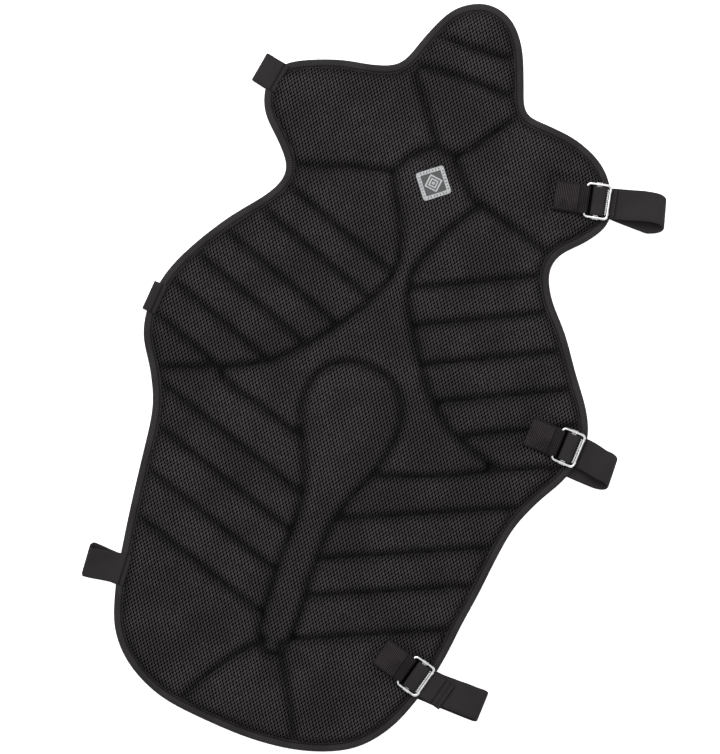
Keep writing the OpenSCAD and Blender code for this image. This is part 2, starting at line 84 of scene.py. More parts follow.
def newPiece(name, points, faces, smooth=True, place=None):
    mesh = bpy.data.meshes.new(name)
    mesh.from_pydata([tuple(p) for p in points], [], [tuple(int(i) for i in f) for f in faces])
    mesh.validate()
    if place is not None:
        at = mesh.attributes.new("clothPlace", "FLOAT_VECTOR", "POINT")
        at.data.foreach_set("vector", np.asarray(place, np.float32).ravel())
    if smooth:
        mesh.shade_smooth()
    mesh.update()
    return linked(name, mesh)


def fixNormals(piece):
    work = bmesh.new()
    work.from_mesh(piece.data)
    bmesh.ops.recalc_face_normals(work, faces=work.faces)
    work.to_mesh(piece.data)
    work.free()
    piece.data.update()


def ringFaces(count, size, base=0):
    # quads between that many rings of points, and a cap at either end
    faces = [(k + i, k + (i + 1) % size, k + size + (i + 1) % size, k + size + i)
             for k in range(base, base + (count - 1) * size, size) for i in range(size)]
    faces.append(tuple(base + i for i in range(size))[::-1])
    faces.append(tuple(base + (count - 1) * size + i for i in range(size)))
    return faces


def setShare(piece, label, share):
    # a value from 0 to 1 at each point, for the piece's material to read
    found = piece.data.attributes.get(label) or piece.data.attributes.new(label, "FLOAT", "POINT")
    found.data.foreach_set("value", np.asarray(share, np.float32))


def finished(piece, material, body="panel", stands=()):
    piece.data.materials.append(material)
    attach(piece, body)
    if stands:
        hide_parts(*stands)
    return piece


def signedArea(loop):
    # positive when the loop runs counter-clockwise
    x, y = loop.T
    return np.sum(x * np.roll(y, -1) - y * np.roll(x, -1)) / 2


def runAlong(points):
    # the distance walked at each point
    return np.concatenate([[0], np.cumsum(np.linalg.norm(np.diff(points, axis=0), axis=1))])


def inward(loop):
    # the unit way into a counter-clockwise loop at each of its points
    t = np.roll(loop, -1, 0) - np.roll(loop, 1, 0)
    t /= np.linalg.norm(t, axis=1)[:, None]
    return np.stack([-t[:, 1], t[:, 0]], 1)


def flatLoops(name, z):
    # closed outlines of the node's flat faces at height z
    mesh = nodes[name].data
    co = np.array([v.co for v in mesh.vertices])
    key = [(round(p[0] * 1e5), round(p[1] * 1e5)) for p in co]
    edges = set()
    for poly in mesh.polygons:
        ring = list(poly.vertices)
        if all(abs(co[i][2] - z) < 2e-5 for i in ring):
            for a, b in zip(ring, ring[1:] + ring[:1]):
                if key[a] != key[b]:
                    edges.add((key[a], key[b]))
    follow, arrive = {}, {}
    for a, b in sorted(edges):
        if (b, a) not in edges:
            follow.setdefault(a, []).append(b)
            arrive[b] = arrive.get(b, 0) + 1
    chains = []
    while any(follow.values()):
        loose = [k for k in follow if len(follow[k]) > arrive.get(k, 0)]
        start = loose[0] if loose else next(k for k in follow if follow[k])
        chain = [start]
        while follow.get(chain[-1]):
            chain.append(follow[chain[-1]].pop())
            arrive[chain[-1]] -= 1
            if chain[-1] == start and not loose:
                break
        chains.append(chain)
    # a chain that stops short goes on with the one that starts nearest
    loops = []
    while chains:
        chain = chains.pop(0)
        while chain[0] != chain[-1]:
            others = [c for c in chains if c[0] != c[-1]]
            near = min([chain] + others, key=lambda c: math.dist(c[0], chain[-1]))
            if near is chain:
                chain.append(chain[0])
            else:
                chains.remove(near)
                chain = chain + near
        loop = np.array(chain[:-1]) * 1e-5
        if len(loop) > 3 and abs(signedArea(loop)) > 100 * mm * mm:
            loops.append(loop)
    return loops


def evenLoop(loop, step, soften):
    # the loop at even steps, its corners softened over that length, counter-clockwise
    if signedArea(loop) < 0:
        loop = loop[::-1]
    ends = np.vstack([loop, loop[:1]])
    run = runAlong(ends)
    count = max(16, int(run[-1] / step))
    s = np.linspace(0, run[-1], count, endpoint=False)
    even = np.stack([np.interp(s, run, ends[:, k]) for k in (0, 1)], 1)
    if soften > 0:
        reach = int(3 * soften / step) + 1
        offsets = np.arange(-reach, reach + 1)
        weights = np.exp(-0.5 * (offsets * step / soften) ** 2)
        even = sum(w * np.roll(even, k, 0) for w, k in zip(weights, offsets)) / weights.sum()
    return even


def loopDistance(points, loop):
    # signed distance to a closed loop, positive inside
    a, b = loop, np.roll(loop, -1, 0)
    best = np.full(len(points), 1e9)
    inside = np.zeros(len(points), bool)
    for start in range(0, len(points), 20000):
        part = slice(start, start + 20000)
        p = points[part]
        side = b - a
        rel = p[:, None, :] - a[None]
        t = np.clip((rel * side).sum(2) / np.maximum((side * side).sum(1), 1e-18), 0, 1)
        gap = rel - t[..., None] * side
        best[part] = np.sqrt((gap * gap).sum(2).min(1))
        above = (a[:, 1] > p[:, 1:2]) != (b[:, 1] > p[:, 1:2])
        with np.errstate(divide="ignore", invalid="ignore"):
            cut = a[:, 0] + (p[:, 1:2] - a[:, 1]) * side[:, 0] / side[:, 1]
        inside[part] = (above & (p[:, 0:1] < cut)).sum(1) % 2 == 1
    return np.where(inside, best, -best)


foamNodes = [n for n in nodes if n.endswith("_foam")]
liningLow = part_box("back_lining")[0].z
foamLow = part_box("spine_foam")[0].z
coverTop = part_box("front_mesh_cover")[1].z
bindingLow, bindingTop = (corner.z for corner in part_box("edge_binding"))
bindingT = liningLow - bindingLow
coverRim = bindingTop - bindingT

ringLoops = sorted(flatLoops("edge_binding", bindingTop), key=lambda l: -np.ptp(l[:, 1]))
outline = evenLoop(ringLoops[0], 2 * mm, 5 * mm)
padLoops = {n: [evenLoop(l, 1.5 * mm, 1.6 * mm) for l in flatLoops(n, foamLow)] for n in foamNodes}
print("outlines read:", sum(len(v) for v in padLoops.values()), "pads")


class Buckle:
    def __init__(self, name):
        hinge = joints[name + "_buckle_hinge"]
        self.hinge = Vector(hinge["pos_m"])
        self.across = -Vector(hinge["axis"]).normalized()
        self.out = Vector((self.across.y, -self.across.x, 0))
        self.turn = math.degrees(math.atan2(self.out.y, self.out.x))
        low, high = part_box(name + "_buckle_frame")
        self.wireR = (high.z - low.z) / 2
        corners = [Vector(v.co) for v in nodes[name + "_buckle_frame"].data.vertices]
        self.length = max((c - self.hinge).dot(self.out) for c in corners) - self.wireR

    def at(self, u, z=None, v=0.0):
        p = self.hinge + self.out * u + self.across * v
        return Vector((p.x, p.y, self.hinge.z if z is None else z))

    def local(self, xy):
        rel = xy - np.array(self.hinge[:2])
        return rel @ np.array(self.out[:2]), rel @ np.array(self.across[:2])


buckles = {n: Buckle(n) for n in ("top", "middle", "bottom")}


quilt = {
    "grid": 1.5 * mm,
    "grooveFloor": coverRim,
    "rollIn": 2.3 * mm,      # how far into the groove the pad's side reaches
    "rollOut": 6.5 * mm,     # how far in from its outline a pad is still rounded
    "crown": 0.7 * mm,
    "clothGrid": 5 * mm,
    "clothPressure": 4.0,
    "clothCap": 1.8 * mm,
    "crownReach": 14 * mm,
    "unevenness": 0.25 * mm,
    "badgeSeat": 0.1 * mm,
    "badgeReach": (18 * mm, 30 * mm),
}
sheets = {"coverT": 1.0 * mm, "liningT": 0.8 * mm, "edgeIn": 1.4 * mm, "liningSink": 0.9 * mm,
          "coverFlat": (0.42, 0.70), "coverArea": 0.205, "liningFlat": (0.396, 0.665), "liningArea": 0.182}
pads = {"edgeStep": 3 * mm, "innerStep": 4.5 * mm, "edgeIn": 0.8 * mm, "underCover": 1.5 * mm,
        "least": 1.2 * mm, "fill": 0.85}
# the foam is held down round a buckle: reach behind, in front and to the sides, and the height left
pressed = {"back": 29 * mm, "front": 70 * mm, "side": 14.5 * mm, "soft": 7 * mm,
           "top": coverTop - 3.25 * mm}


class Field:
    # a height map over the panel, read back at any point
    def __init__(self, low, step, values):
        self.low, self.step, self.values = low, step, values

    def __call__(self, xy):
        nx, ny = self.values.shape
        g = (np.asarray(xy) - self.low) / self.step
        i = np.clip(np.floor(g[:, 0]).astype(int), 0, nx - 2)
        j = np.clip(np.floor(g[:, 1]).astype(int), 0, ny - 2)
        fx, fy = np.clip(g[:, 0] - i, 0, 1), np.clip(g[:, 1] - j, 0, 1)
        v = self.values
        return ((v[i, j] * (1 - fx) + v[i + 1, j] * fx) * (1 - fy)
                + (v[i, j + 1] * (1 - fx) + v[i + 1, j + 1] * fx) * fy)


def gridOver(loop, step, margin):
    low = loop.min(0) - margin
    size = np.ceil((loop.max(0) + margin - low) / step).astype(int) + 1
    x = low[0] + np.arange(size[0]) * step
    y = low[1] + np.arange(size[1]) * step
    xy = np.stack(np.meshgrid(x, y, indexing="ij"), -1)
    return low, xy


def padDistance(xy):
    # how far inside the nearest pad each point is, and how far outside if negative
    flat = xy.reshape(-1, 2)
    best = np.full(len(flat), -30 * mm)
    for loops in padLoops.values():
        for loop in loops:
            near = ((flat > loop.min(0) - 12 * mm) & (flat < loop.max(0) + 12 * mm)).all(1)
            best[near] = np.maximum(best[near], loopDistance(flat[near], loop))
    return best.reshape(xy.shape[:-1])


def rounded(d):
    # 0 in a groove, 1 on a pad's top
    t = np.clip((d + quilt["rollIn"]) / (quilt["rollIn"] + quilt["rollOut"]), 0, 1)
    return np.sqrt(np.clip(1 - (1 - t) ** 2.2, 0, 1))


def blurred(values, rounds=1):
    for _ in range(rounds):
        wide = np.pad(values, 1, mode="edge")
        wide = (wide[:-2] + 2 * wide[1:-1] + wide[2:]) / 4
        values = (wide[:, :-2] + 2 * wide[:, 1:-1] + wide[:, 2:]) / 4
    return values


def softNoise(xy, scale, seed):
    rng = np.random.default_rng(seed)
    total = np.zeros(xy.shape[:-1])
    for _ in range(7):
        angle = rng.uniform(0, 2 * math.pi)
        k = 2 * math.pi / (scale * rng.uniform(0.6, 1.8))
        phase = rng.uniform(0, 2 * math.pi)
        total += np.sin((xy[..., 0] * math.cos(angle) + xy[..., 1] * math.sin(angle)) * k + phase)
    return total / 3.5


def pressedIn(xy, height):
    # the sewn webbing holds the foam down round each buckle
    flat = xy.reshape(-1, 2)
    result = height.copy().reshape(-1)
    for b in buckles.values():
        u, v = b.local(flat)
        past = np.maximum(np.maximum(-pressed["back"] - u, u - pressed["front"]),
                          np.abs(v) - pressed["side"])
        share = 1 - shaped(0, pressed["soft"], past)
        result = result * (1 - share) + np.minimum(result, pressed["top"]) * share
    return result.reshape(height.shape)


def clothPuff():
    # a coarse cover, held in its grooves, swells over the foam; gives its rise as a field
    low, xy = gridOver(outline, quilt["clothGrid"], 5 * mm)
    nx, ny = xy.shape[:2]
    d = padDistance(xy)
    edge = loopDistance(xy.reshape(-1, 2), outline).reshape(nx, ny)
    z = quilt["grooveFloor"] + (coverTop - quilt["grooveFloor"]) * rounded(d)
    z += 0.3 * mm * softNoise(xy, 40 * mm, 5)
    keep = edge > 0
    index = np.full((nx, ny), -1)
    index[keep] = np.arange(keep.sum())
    faces = [(index[i, j], index[i + 1, j], index[i + 1, j + 1], index[i, j + 1])
             for i in range(nx - 1) for j in range(ny - 1)
             if keep[i, j] and keep[i + 1, j] and keep[i + 1, j + 1] and keep[i, j + 1]]
    points = np.column_stack([xy[keep], z[keep]])
    sheet = newPiece("coverTrial", points, faces)
    held = sheet.vertex_groups.new(name="held")
    weight = 1 - shaped(-1 * mm, 2.5 * mm, d[keep])
    for i, w in enumerate(weight):
        if w > 0:
            held.add([i], float(w), "REPLACE")
    cloth = sheet.modifiers.new("swell", "CLOTH")
    s = cloth.settings
    s.quality = 5
    s.mass = 0.25
    s.tension_stiffness = s.compression_stiffness = 12
    s.shear_stiffness = 6
    s.bending_stiffness = 0.4
    s.use_pressure = True
    s.uniform_pressure_force = quilt["clothPressure"]
    s.vertex_group_mass = "held"
    s.effector_weights.gravity = 0
    cloth.collision_settings.use_collision = False
    scene = bpy.context.scene
    for f in range(1, 21):
        scene.frame_set(f)
    graph = bpy.context.evaluated_depsgraph_get()
    done = sheet.evaluated_get(graph).to_mesh()
    after = np.array([v.co for v in done.vertices])
    scene.frame_set(1)
    rise = np.zeros((nx, ny))
    rise[keep] = np.clip(after[:, 2] - points[:, 2], -quilt["clothCap"], quilt["clothCap"])
    print("cloth swell: mean %.2f mm, most %.2f mm" % (rise[keep].mean() * 1000, rise.max() * 1000))
    bpy.data.objects.remove(sheet)
    return Field(low, quilt["clothGrid"], blurred(rise))


gridLow, gridXy = gridOver(outline, quilt["grid"], 3 * mm)
padD = padDistance(gridXy)
edgeD = loopDistance(gridXy.reshape(-1, 2), outline).reshape(padD.shape)
swell = np.zeros_like(padD)
swell = clothPuff()(gridXy.reshape(-1, 2)).reshape(padD.shape)
roll = rounded(padD)
crown = quilt["crown"] * (1 - np.exp(-np.maximum(padD, 0) / quilt["crownReach"]))
coverZ = quilt["grooveFloor"] + (coverTop - quilt["crown"] * 0.6 - quilt["grooveFloor"]) * roll + crown
coverZ += quilt["unevenness"] * softNoise(gridXy, 34 * mm, 11) * roll
coverZ += swell * roll
coverZ += 0.12 * mm * softNoise(gridXy, 7 * mm, 12) * shaped(-3 * mm, 1 * mm, padD)
coverZ = blurred(pressedIn(gridXy, coverZ))
# the cover lies flat under the badge, so nothing of it comes through the plate
badgeLow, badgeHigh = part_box("badge")
badgeMiddle = (badgeLow + badgeHigh) / 2
fromBadge = np.hypot(gridXy[..., 0] - badgeMiddle.x, gridXy[..., 1] - badgeMiddle.y)
seat = badgeLow.z + quilt["badgeSeat"] + 3 * mm * shaped(*quilt["badgeReach"], fromBadge)
coverZ = np.minimum(coverZ, seat)
coverField = Field(gridLow, quilt["grid"], coverZ)
padField = Field(gridLow, quilt["grid"], padD)
print("quilted surface ready:", coverZ.shape)


def gridSheet(name, heights, keep, thickness):
    # the kept cells of the grid as a closed sheet of that thickness
    nx, ny = keep.shape
    cell = keep[:-1, :-1] & keep[1:, :-1] & keep[1:, 1:] & keep[:-1, 1:]
    used = np.zeros_like(keep)
    for di, dj in ((0, 0), (1, 0), (1, 1), (0, 1)):
        used[di:nx - 1 + di, dj:ny - 1 + dj] |= cell
    index = np.full((nx, ny), -1)
    index[used] = np.arange(used.sum())
    i, j = np.nonzero(cell)
    top = np.column_stack([index[i, j], index[i + 1, j], index[i + 1, j + 1], index[i, j + 1]])
    n = int(used.sum())
    edges = np.vstack([top[:, [0, 1]], top[:, [1, 2]], top[:, [2, 3]], top[:, [3, 0]]])
    code = edges[:, 0] * (n + 1) + edges[:, 1]
    back = edges[:, 1] * (n + 1) + edges[:, 0]
    rim = edges[~np.isin(code, back)]
    side = np.column_stack([rim[:, 1], rim[:, 0], rim[:, 0] + n, rim[:, 1] + n])
    xy = gridXy[used]
    z = heights[used]
    points = np.vstack([np.column_stack([xy, z]), np.column_stack([xy, z - thickness])])
    return newPiece(name, points, np.vstack([top, top[:, ::-1] + n, side]))


def padMesh(name, loops):
    # crowned foam pads that fill the space under the cover
    points, faces = [], []
    for loop in loops:
        ring = evenLoop(loop, pads["edgeStep"], 0)
        _, xy = gridOver(loop, pads["innerStep"], 0)
        flat = xy.reshape(-1, 2)
        inner = flat[loopDistance(flat, loop) > pads["edgeStep"]]
        ringIn = ring + inward(ring) * pads["edgeIn"]
        every = np.vstack([ringIn, inner])
        m = len(ringIn)
        out = geometry.delaunay_2d_cdt([Vector(p) for p in every],
                                       [(k, (k + 1) % m) for k in range(m)],
                                       [list(range(m))], 1, 1e-7)
        xyOut = np.array([tuple(p) for p in out[0]])
        tris = [list(f) for f in out[2]]
        z = np.maximum(coverField(xyOut) - pads["underCover"], foamLow + pads["least"])
        n = len(xyOut)
        base = len(points)
        points += [(x, y, h) for (x, y), h in zip(xyOut, z)]
        points += [(x, y, foamLow + 0.05 * mm) for x, y in xyOut]
        faces += [[base + a for a in f] for f in tris]
        faces += [[base + n + a for a in reversed(f)] for f in tris]
        sides = {(a, b): None for f in tris for a, b in zip(f, f[1:] + f[:1])}
        faces += [[base + b, base + a, base + n + a, base + n + b]
                  for a, b in sides if (b, a) not in sides]
    return newPiece(name, points, faces)


def softSection(width, thickness, edge=0.5 * mm, across=9):
    # a flat band's section, rounded at its two edges: (across, up) pairs, counter-clockwise
    h = thickness / 2
    cols = np.linspace(-width / 2 + edge, width / 2 - edge, across)
    upper = [(c, h) for c in cols[::-1]]
    lower = [(c, -h) for c in cols]
    return ([(width / 2, -h * 0.45), (width / 2, h * 0.45)] + upper
            + [(-width / 2, h * 0.45), (-width / 2, -h * 0.45)] + lower)


def smoothPath(rings, step):
    # rings of (x, y, z, turn, roll) through a spline, at even steps
    p = np.array([tuple(r) + (0.0,) * (5 - len(r)) for r in rings], float)
    ext = np.vstack([2 * p[0] - p[1], p, 2 * p[-1] - p[-2]])
    fine = []
    for k in range(1, len(ext) - 2):
        a, b, c, d = ext[k - 1:k + 3]
        count = max(2, int(np.linalg.norm((c - b)[:3]) / (0.4 * mm)))
        for t in np.arange(count) / count:
            q = 0.5 * (2 * b + (c - a) * t + (2 * a - 5 * b + 4 * c - d) * t * t
                       + (3 * b - a - 3 * c + d) * t ** 3)
            q[3:] = b[3:] + (c[3:] - b[3:]) * t
            fine.append(q)
    fine.append(p[-1])
    fine = np.array(fine)
    run = runAlong(fine[:, :3])
    count = max(3, int(round(run[-1] / step)) + 1)
    s = np.linspace(0, run[-1], count)
    return np.stack([np.interp(s, run, fine[:, k]) for k in range(5)], 1), s


def bandFrame(path):
    # across the band, and up from its face
    turn, roll = np.radians(path[:, 3]), np.radians(path[:, 4])
    side = np.stack([-np.sin(turn) * np.cos(roll), np.cos(turn) * np.cos(roll), np.sin(roll)], 1)
    ahead = np.gradient(path[:, :3], axis=0)
    up = np.cross(ahead, side)
    return side, up / np.linalg.norm(up, axis=1)[:, None]


def dent(s, at, reach):
    return np.exp(-((s - at) / reach) ** 2)


def bandPiece(name, path, s, section, start=0.0, wave=0.12 * mm, seed=1,
              thicker=1.0, wider=1.0, groove=0.0):
    # sweeps the section along the path; clothPlace holds the run along and across
    n, m = len(path), len(section)
    centre = path[:, :3]
    side, up = bandFrame(path)
    length = max(s[-1], 1e-6)
    thicker, wider, groove = (np.broadcast_to(v, n) for v in (thicker, wider, groove))
    lift = wave * ripple(s, length, 11 * mm, seed)
    shift = wave * 1.2 * ripple(s, length, 17 * mm, seed + 1)
    points, place = [], []
    for k in range(n):
        for a, b in section:
            curl = wave * 0.8 * math.sin(s[k] / (9 * mm) + a / (8 * mm))
            rise = b * (thicker[k] if b > 0 else 1)
            out = a * wider[k] + shift[k]
            points.append(centre[k] + side[k] * out + up[k] * (rise + lift[k] * 0.5 + curl * 0.4))
            place.append((start + s[k], a, b))
    made = newPiece(name, points, ringFaces(n, m), place=place)
    # painted shade at each ring, for the material to darken
    setShare(made, "grooveShare", np.repeat(groove, m))
    fixNormals(made)
    return made


binding = {"flap": 8.2 * mm, "puff": 0.55 * mm, "wave": 0.16 * mm, "step": 2 * mm}


def makeBinding():
    loop = evenLoop(outline, binding["step"], 0)
    outward = -inward(loop)
    length = len(loop) * binding["step"]
    s = np.arange(len(loop)) * binding["step"]
    puff = ripple(s, length, 14 * mm, 3)
    edge = ripple(s, length, 23 * mm, 4)
    top, low, tape, flap = bindingTop, bindingLow, bindingT, binding["flap"]
    rise = binding["puff"]
    section = [
        (-flap, top - tape + 0.06 * mm), (-flap - 0.12 * mm, top - tape * 0.5),
        (-flap + 0.25 * mm, top + 0.1 * mm), (-flap + 0.8 * mm, top + 0.22 * mm),
        (-flap + 1.4 * mm, top - 0.05 * mm), (-flap + 1.8 * mm, top - 0.28 * mm),
        (-flap + 2.3 * mm, top + rise * 0.25), (-flap * 0.6, top + rise * 0.9),
        (-flap * 0.4, top + rise), (-flap * 0.2, top + rise * 0.55), (-0.8 * mm, top - 0.15 * mm),
        (-0.25 * mm, top - 0.75 * mm), (0, (top + low) / 2), (-0.25 * mm, low + 0.75 * mm),
        (-0.8 * mm, low + 0.2 * mm), (-flap * 0.25, low), (-flap * 0.6, low),
        (-flap + 0.25 * mm, low + 0.02 * mm), (-flap, low + tape * 0.5), (-flap + 0.1 * mm, low + tape),
        (-flap * 0.5, low + tape), (-1.3 * mm, low + tape), (-0.85 * mm, (top + low) / 2),
        (-1.3 * mm, top - tape), (-flap * 0.5, top - tape),
    ]
    run = runAlong(np.array(section))
    m, n = len(section), len(loop)
    points, place = [], []
    for k in range(n):
        for (o, z), r in zip(section, run):
            upper = z > (top + low) / 2
            lift = binding["wave"] * puff[k] * (1 if upper and -flap * 0.9 < o < -0.5 * mm else 0.2)
            drift = 0.25 * mm * edge[k] if upper and o < -flap * 0.8 else 0.0
            xy = loop[k] + outward[k] * (o + drift)
            points.append((xy[0], xy[1], z + lift))
            place.append((s[k], r, 0))
    faces = [(k * m + i, ((k + 1) % n) * m + i, ((k + 1) % n) * m + (i + 1) % m, k * m + (i + 1) % m)
             for k in range(n) for i in range(m)]
    made = newPiece("edge_tape", points, faces, place=place)
    # painted shade in the crease near the flap's inner edge and along that edge
    depth = [0.9 * float(dent(np.float64(o), -flap + 1.8 * mm, 0.5 * mm)) if z > (top + low) / 2 else 0.0
             for o, z in section]
    rim = [0.7 * float(dent(np.float64(o), -flap, 0.35 * mm)) for o, z in section]
    setShare(made, "grooveShare", np.tile(np.maximum(depth, rim), n))
    fixNormals(made)
    return made


# Turns and rolls in degrees, sizes in metres. At a loop's fold the strap goes
# out by foldOut, up and down by foldHigh, and sideways by foldSide; at the
# left end's fold it opens up by leftHigh and sideways by leftSide.
straps = {
    "width": 24.5 * mm, "wide": 26.4 * mm, "thickness": 1.5 * mm, "gap": 0.2 * mm, "step": 1.5 * mm,
    "top": {"tail": 7 * mm, "loopTurn": 11, "leftTurn": 167, "roll": -12, "leftRoll": 4,
            "foldOut": 14 * mm, "foldHigh": 5.4 * mm, "foldSide": 4.8 * mm, "leftHigh": 0.2 * mm,
            "leftSide": 0.0},
    "middle": {"tail": 3 * mm, "loopTurn": -3, "leftTurn": 173, "roll": -12, "leftRoll": 0,
               "foldOut": 11 * mm, "foldHigh": 5.2 * mm, "foldSide": 4.2 * mm, "leftHigh": 0.0 * mm,
               "leftSide": 0.0},
    "bottom": {"tail": 23 * mm, "loopTurn": -5, "leftTurn": 180, "roll": -3, "leftRoll": 14,
               "foldOut": 4 * mm, "foldHigh": 3.4 * mm, "foldSide": 1.5 * mm, "leftHigh": 1.6 * mm,
               "leftSide": 2.3 * mm},
    "sewn": 9 * mm, "seamAt": 4.2 * mm, "bar": 4 * mm, "barT": 1.2 * mm, "clipWall": 0.5 * mm,
    "slack": 3 * mm, "diveLength": 2.65 * mm, "hem": 8 * mm, "hemThicker": 1.3, "floorGap": 0.4 * mm,
    "behindFrom": 12 * mm, "behindTo": 30 * mm, "straighten": 45 * mm, "seamThinner": 0.75,
}


def heading(turn):
    return np.array([math.cos(math.radians(turn)), math.sin(math.radians(turn))])


def beside(way):
    return np.array([-way[1], way[0]])


def strapTip(name, turn):
    # where the strap's own CAD node ends that way, at the middle of its thickness
    co = np.array([v.co[:2] for v in nodes[name + "_strap"].data.vertices])
    way = heading(turn)
    reach = co @ way
    return co[reach > reach.max() - 0.6 * mm].mean(0) - way * straps["thickness"] / 2


def edgeDepth(tip, out):
    # how far back from a tip the panel's edge is
    d = loopDistance(np.array([tip - out * k * mm for k in range(60)]), outline)
    return float(np.argmax(d > 0)) * mm


def buildStrap(name, cloth):
    b, facts, t = buckles[name], straps[name], straps["thickness"]
    gap = straps["gap"]
    wireZ, wireR, length = b.hinge.z, b.wireR, b.length
    barU = length / 2 - straps["bar"] / 2
    tailZ = wireZ - wireR - straps["clipWall"] - gap - t / 2
    feedZ = tailZ - t - gap
    wrapR = straps["barT"] / 2 + gap / 2 + t / 2
    lowU, dive = barU - wrapR / 2, barU + straps["bar"] + straps["slack"]
    under = length - straps["diveLength"]
    underZ, leftZ = t / 2, bindingTop + gap / 2 + t / 2
    loopTurn, leftTurn, roll = facts["loopTurn"], facts["leftTurn"], facts["roll"]
    tip, leftTip = strapTip(name, loopTurn), strapTip(name, leftTurn)
    far, high, aside = facts["foldOut"], facts["foldHigh"], facts["foldSide"]
    section = softSection(straps["width"], t)
    full = straps["wide"] / straps["width"]

    def on(u, z):
        p = b.at(u)
        return (p.x, p.y, z, b.turn, 0.0)

    tail = facts["tail"]
    rings = [on(length + tail, tailZ + 0.5 * mm), on(length + tail * 0.5 + wireR * 0.5, tailZ + 0.2 * mm),
             on(length + wireR, tailZ), on(under, tailZ), on(dive, wireZ + wrapR)]
    rings += [on(lowU + wrapR * math.cos(a), wireZ + wrapR * math.sin(a))
              for a in np.radians(90 + 22.5 * np.arange(9))]
    rings += [on(dive, wireZ - wrapR), on(under, feedZ), on(length + wireR + 1 * mm, feedZ)]

    # the loop: out from the buckle, round the fold, and back under the panel
    out = np.array([*heading(loopTurn), 0])
    level = np.array([-out[1], out[0], 0])
    lean = straps["wide"] / 2 * abs(math.sin(math.radians(roll)))
    c = np.array([*tip, straps["floorGap"] + t / 2 + high + lean]) - out * far
    rise = level * aside + np.array([0, 0, high])
    start, crest = np.array(b.at(length + 5 * mm, feedZ)), c + rise
    for k in (0.12, 0.4, 0.72):
        p = start + (crest - start) * k
        p[2] = feedZ + (crest[2] - feedZ) * math.sin(math.pi / 2 * k)
        rings.append((*p, b.turn + (loopTurn - b.turn) * k, roll * k ** 1.3))
    for a in np.radians(90 - 15 * np.arange(7)):
        rings.append((*(c + out * far * math.cos(a) + rise * math.sin(a)), loopTurn, roll))
    path, s = smoothPath(rings, straps["step"])
    hem = straps["hem"]
    ridges = straps["hemThicker"] * (1 - shaped(hem - 0.6 * mm, hem + 0.4 * mm, s))
    ridges *= 1 - 0.6 * dent(s, hem / 2, 0.8 * mm)
    atWire = tail + length - lowU + math.pi * wrapR + length - lowU
    wider = 1 + (full - 1) * shaped(atWire - 2 * mm, atWire + 10 * mm, s)
    # painted shade where the hem ends, along its middle and at the strap's cut end
    groove = (0.8 * dent(s, hem + 0.7 * mm, 0.7 * mm) + 0.75 * dent(s, hem / 2, 0.6 * mm)
              + 0.6 * dent(s, 0, 0.5 * mm))
    upper = bandPiece(name + "_strap_loop", path, s, section, seed=21,
                      thicker=1 + ridges, wider=wider, groove=groove)
    upper.data.materials.append(cloth)
    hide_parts(name + "_strap")
    endWire = b.at(length + wireR)
    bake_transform(upper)

    # the lower layer, from the loop's tip under the panel to the left end
    rings = [(*(c + out * far * math.cos(a) + rise * math.sin(a)), loopTurn, roll)
             for a in np.radians(-15 * np.arange(7))]
    low = c - rise
    rl = (leftZ - underZ) / 2
    left = heading(leftTurn)
    cl = leftTip - left * rl
    leftRoll, lift = facts["leftRoll"], facts["leftHigh"]
    whole = np.linalg.norm(cl - c[:2])
    edge = np.linalg.norm(tip - np.array(b.at(length + 4 * mm)[:2]))
    behind = np.linspace(edge + straps["behindFrom"], whole - straps["behindTo"], 16)
    for k in np.concatenate([np.linspace(0.12, 1, 6) * edge, behind]):
        share = k / whole
        bowed = 1 - float(shaped(0, edge + straps["straighten"], k))
        p = c[:2] + (cl - c[:2]) * share - level[:2] * aside * bowed
        settle = 1 - float(shaped(0, 1, min(k / edge, 1)))
        turn = loopTurn + (leftTurn - 180 - loopTurn) * share
        rings.append((*p, underZ + (low[2] - underZ) * settle, turn, roll * settle))
    rings.append((*(cl - left * 14 * mm), underZ, leftTurn - 180, leftRoll * 0.3))
    tipLean = straps["wide"] / 2 * abs(math.sin(math.radians(leftRoll)))
    for a in np.radians(-90 + 22.5 * np.arange(9)):
        p = cl + left * rl * math.cos(a) + beside(left) * facts["leftSide"] * math.sin(a)
        z = underZ + tipLean + rl + (rl + lift) * math.sin(a) + lift
        rings.append((p[0], p[1], z, leftTurn - 180, leftRoll))
    edgeAt = edgeDepth(leftTip, left)
    for past, more in ((-2 * mm, 0.3 * mm), (2 * mm, 0.25 * mm), (straps["sewn"], 0.15 * mm)):
        p = leftTip - left * (edgeAt + past)
        if edgeAt + past > rl + 2 * mm:
            rings.append((p[0], p[1], leftZ + more, leftTurn - 180, 0.0))
    path, s2 = smoothPath(rings, straps["step"])
    seam = s2[-1] - straps["seamAt"]
    thicker = 1 - straps["seamThinner"] * dent(s2, seam, 0.9 * mm)
    # painted shade along the seam and at the strap's end
    groove = 0.9 * dent(s2, seam, 0.8 * mm) + 0.5 * dent(s2, s2[-1], 0.5 * mm)
    lower = bandPiece(name + "_strap_run", path, s2, section, start=s[-1], seed=22,
                      thicker=thicker, wider=full, groove=groove)
    finished(lower, cloth)
    return upper, lower


webbing = {"width": 25.5 * mm, "thickness": 1.6 * mm, "patch": 27 * mm, "rib": 1.5 * mm,
           "ribHeight": 0.2 * mm, "foldIn": 0.1}


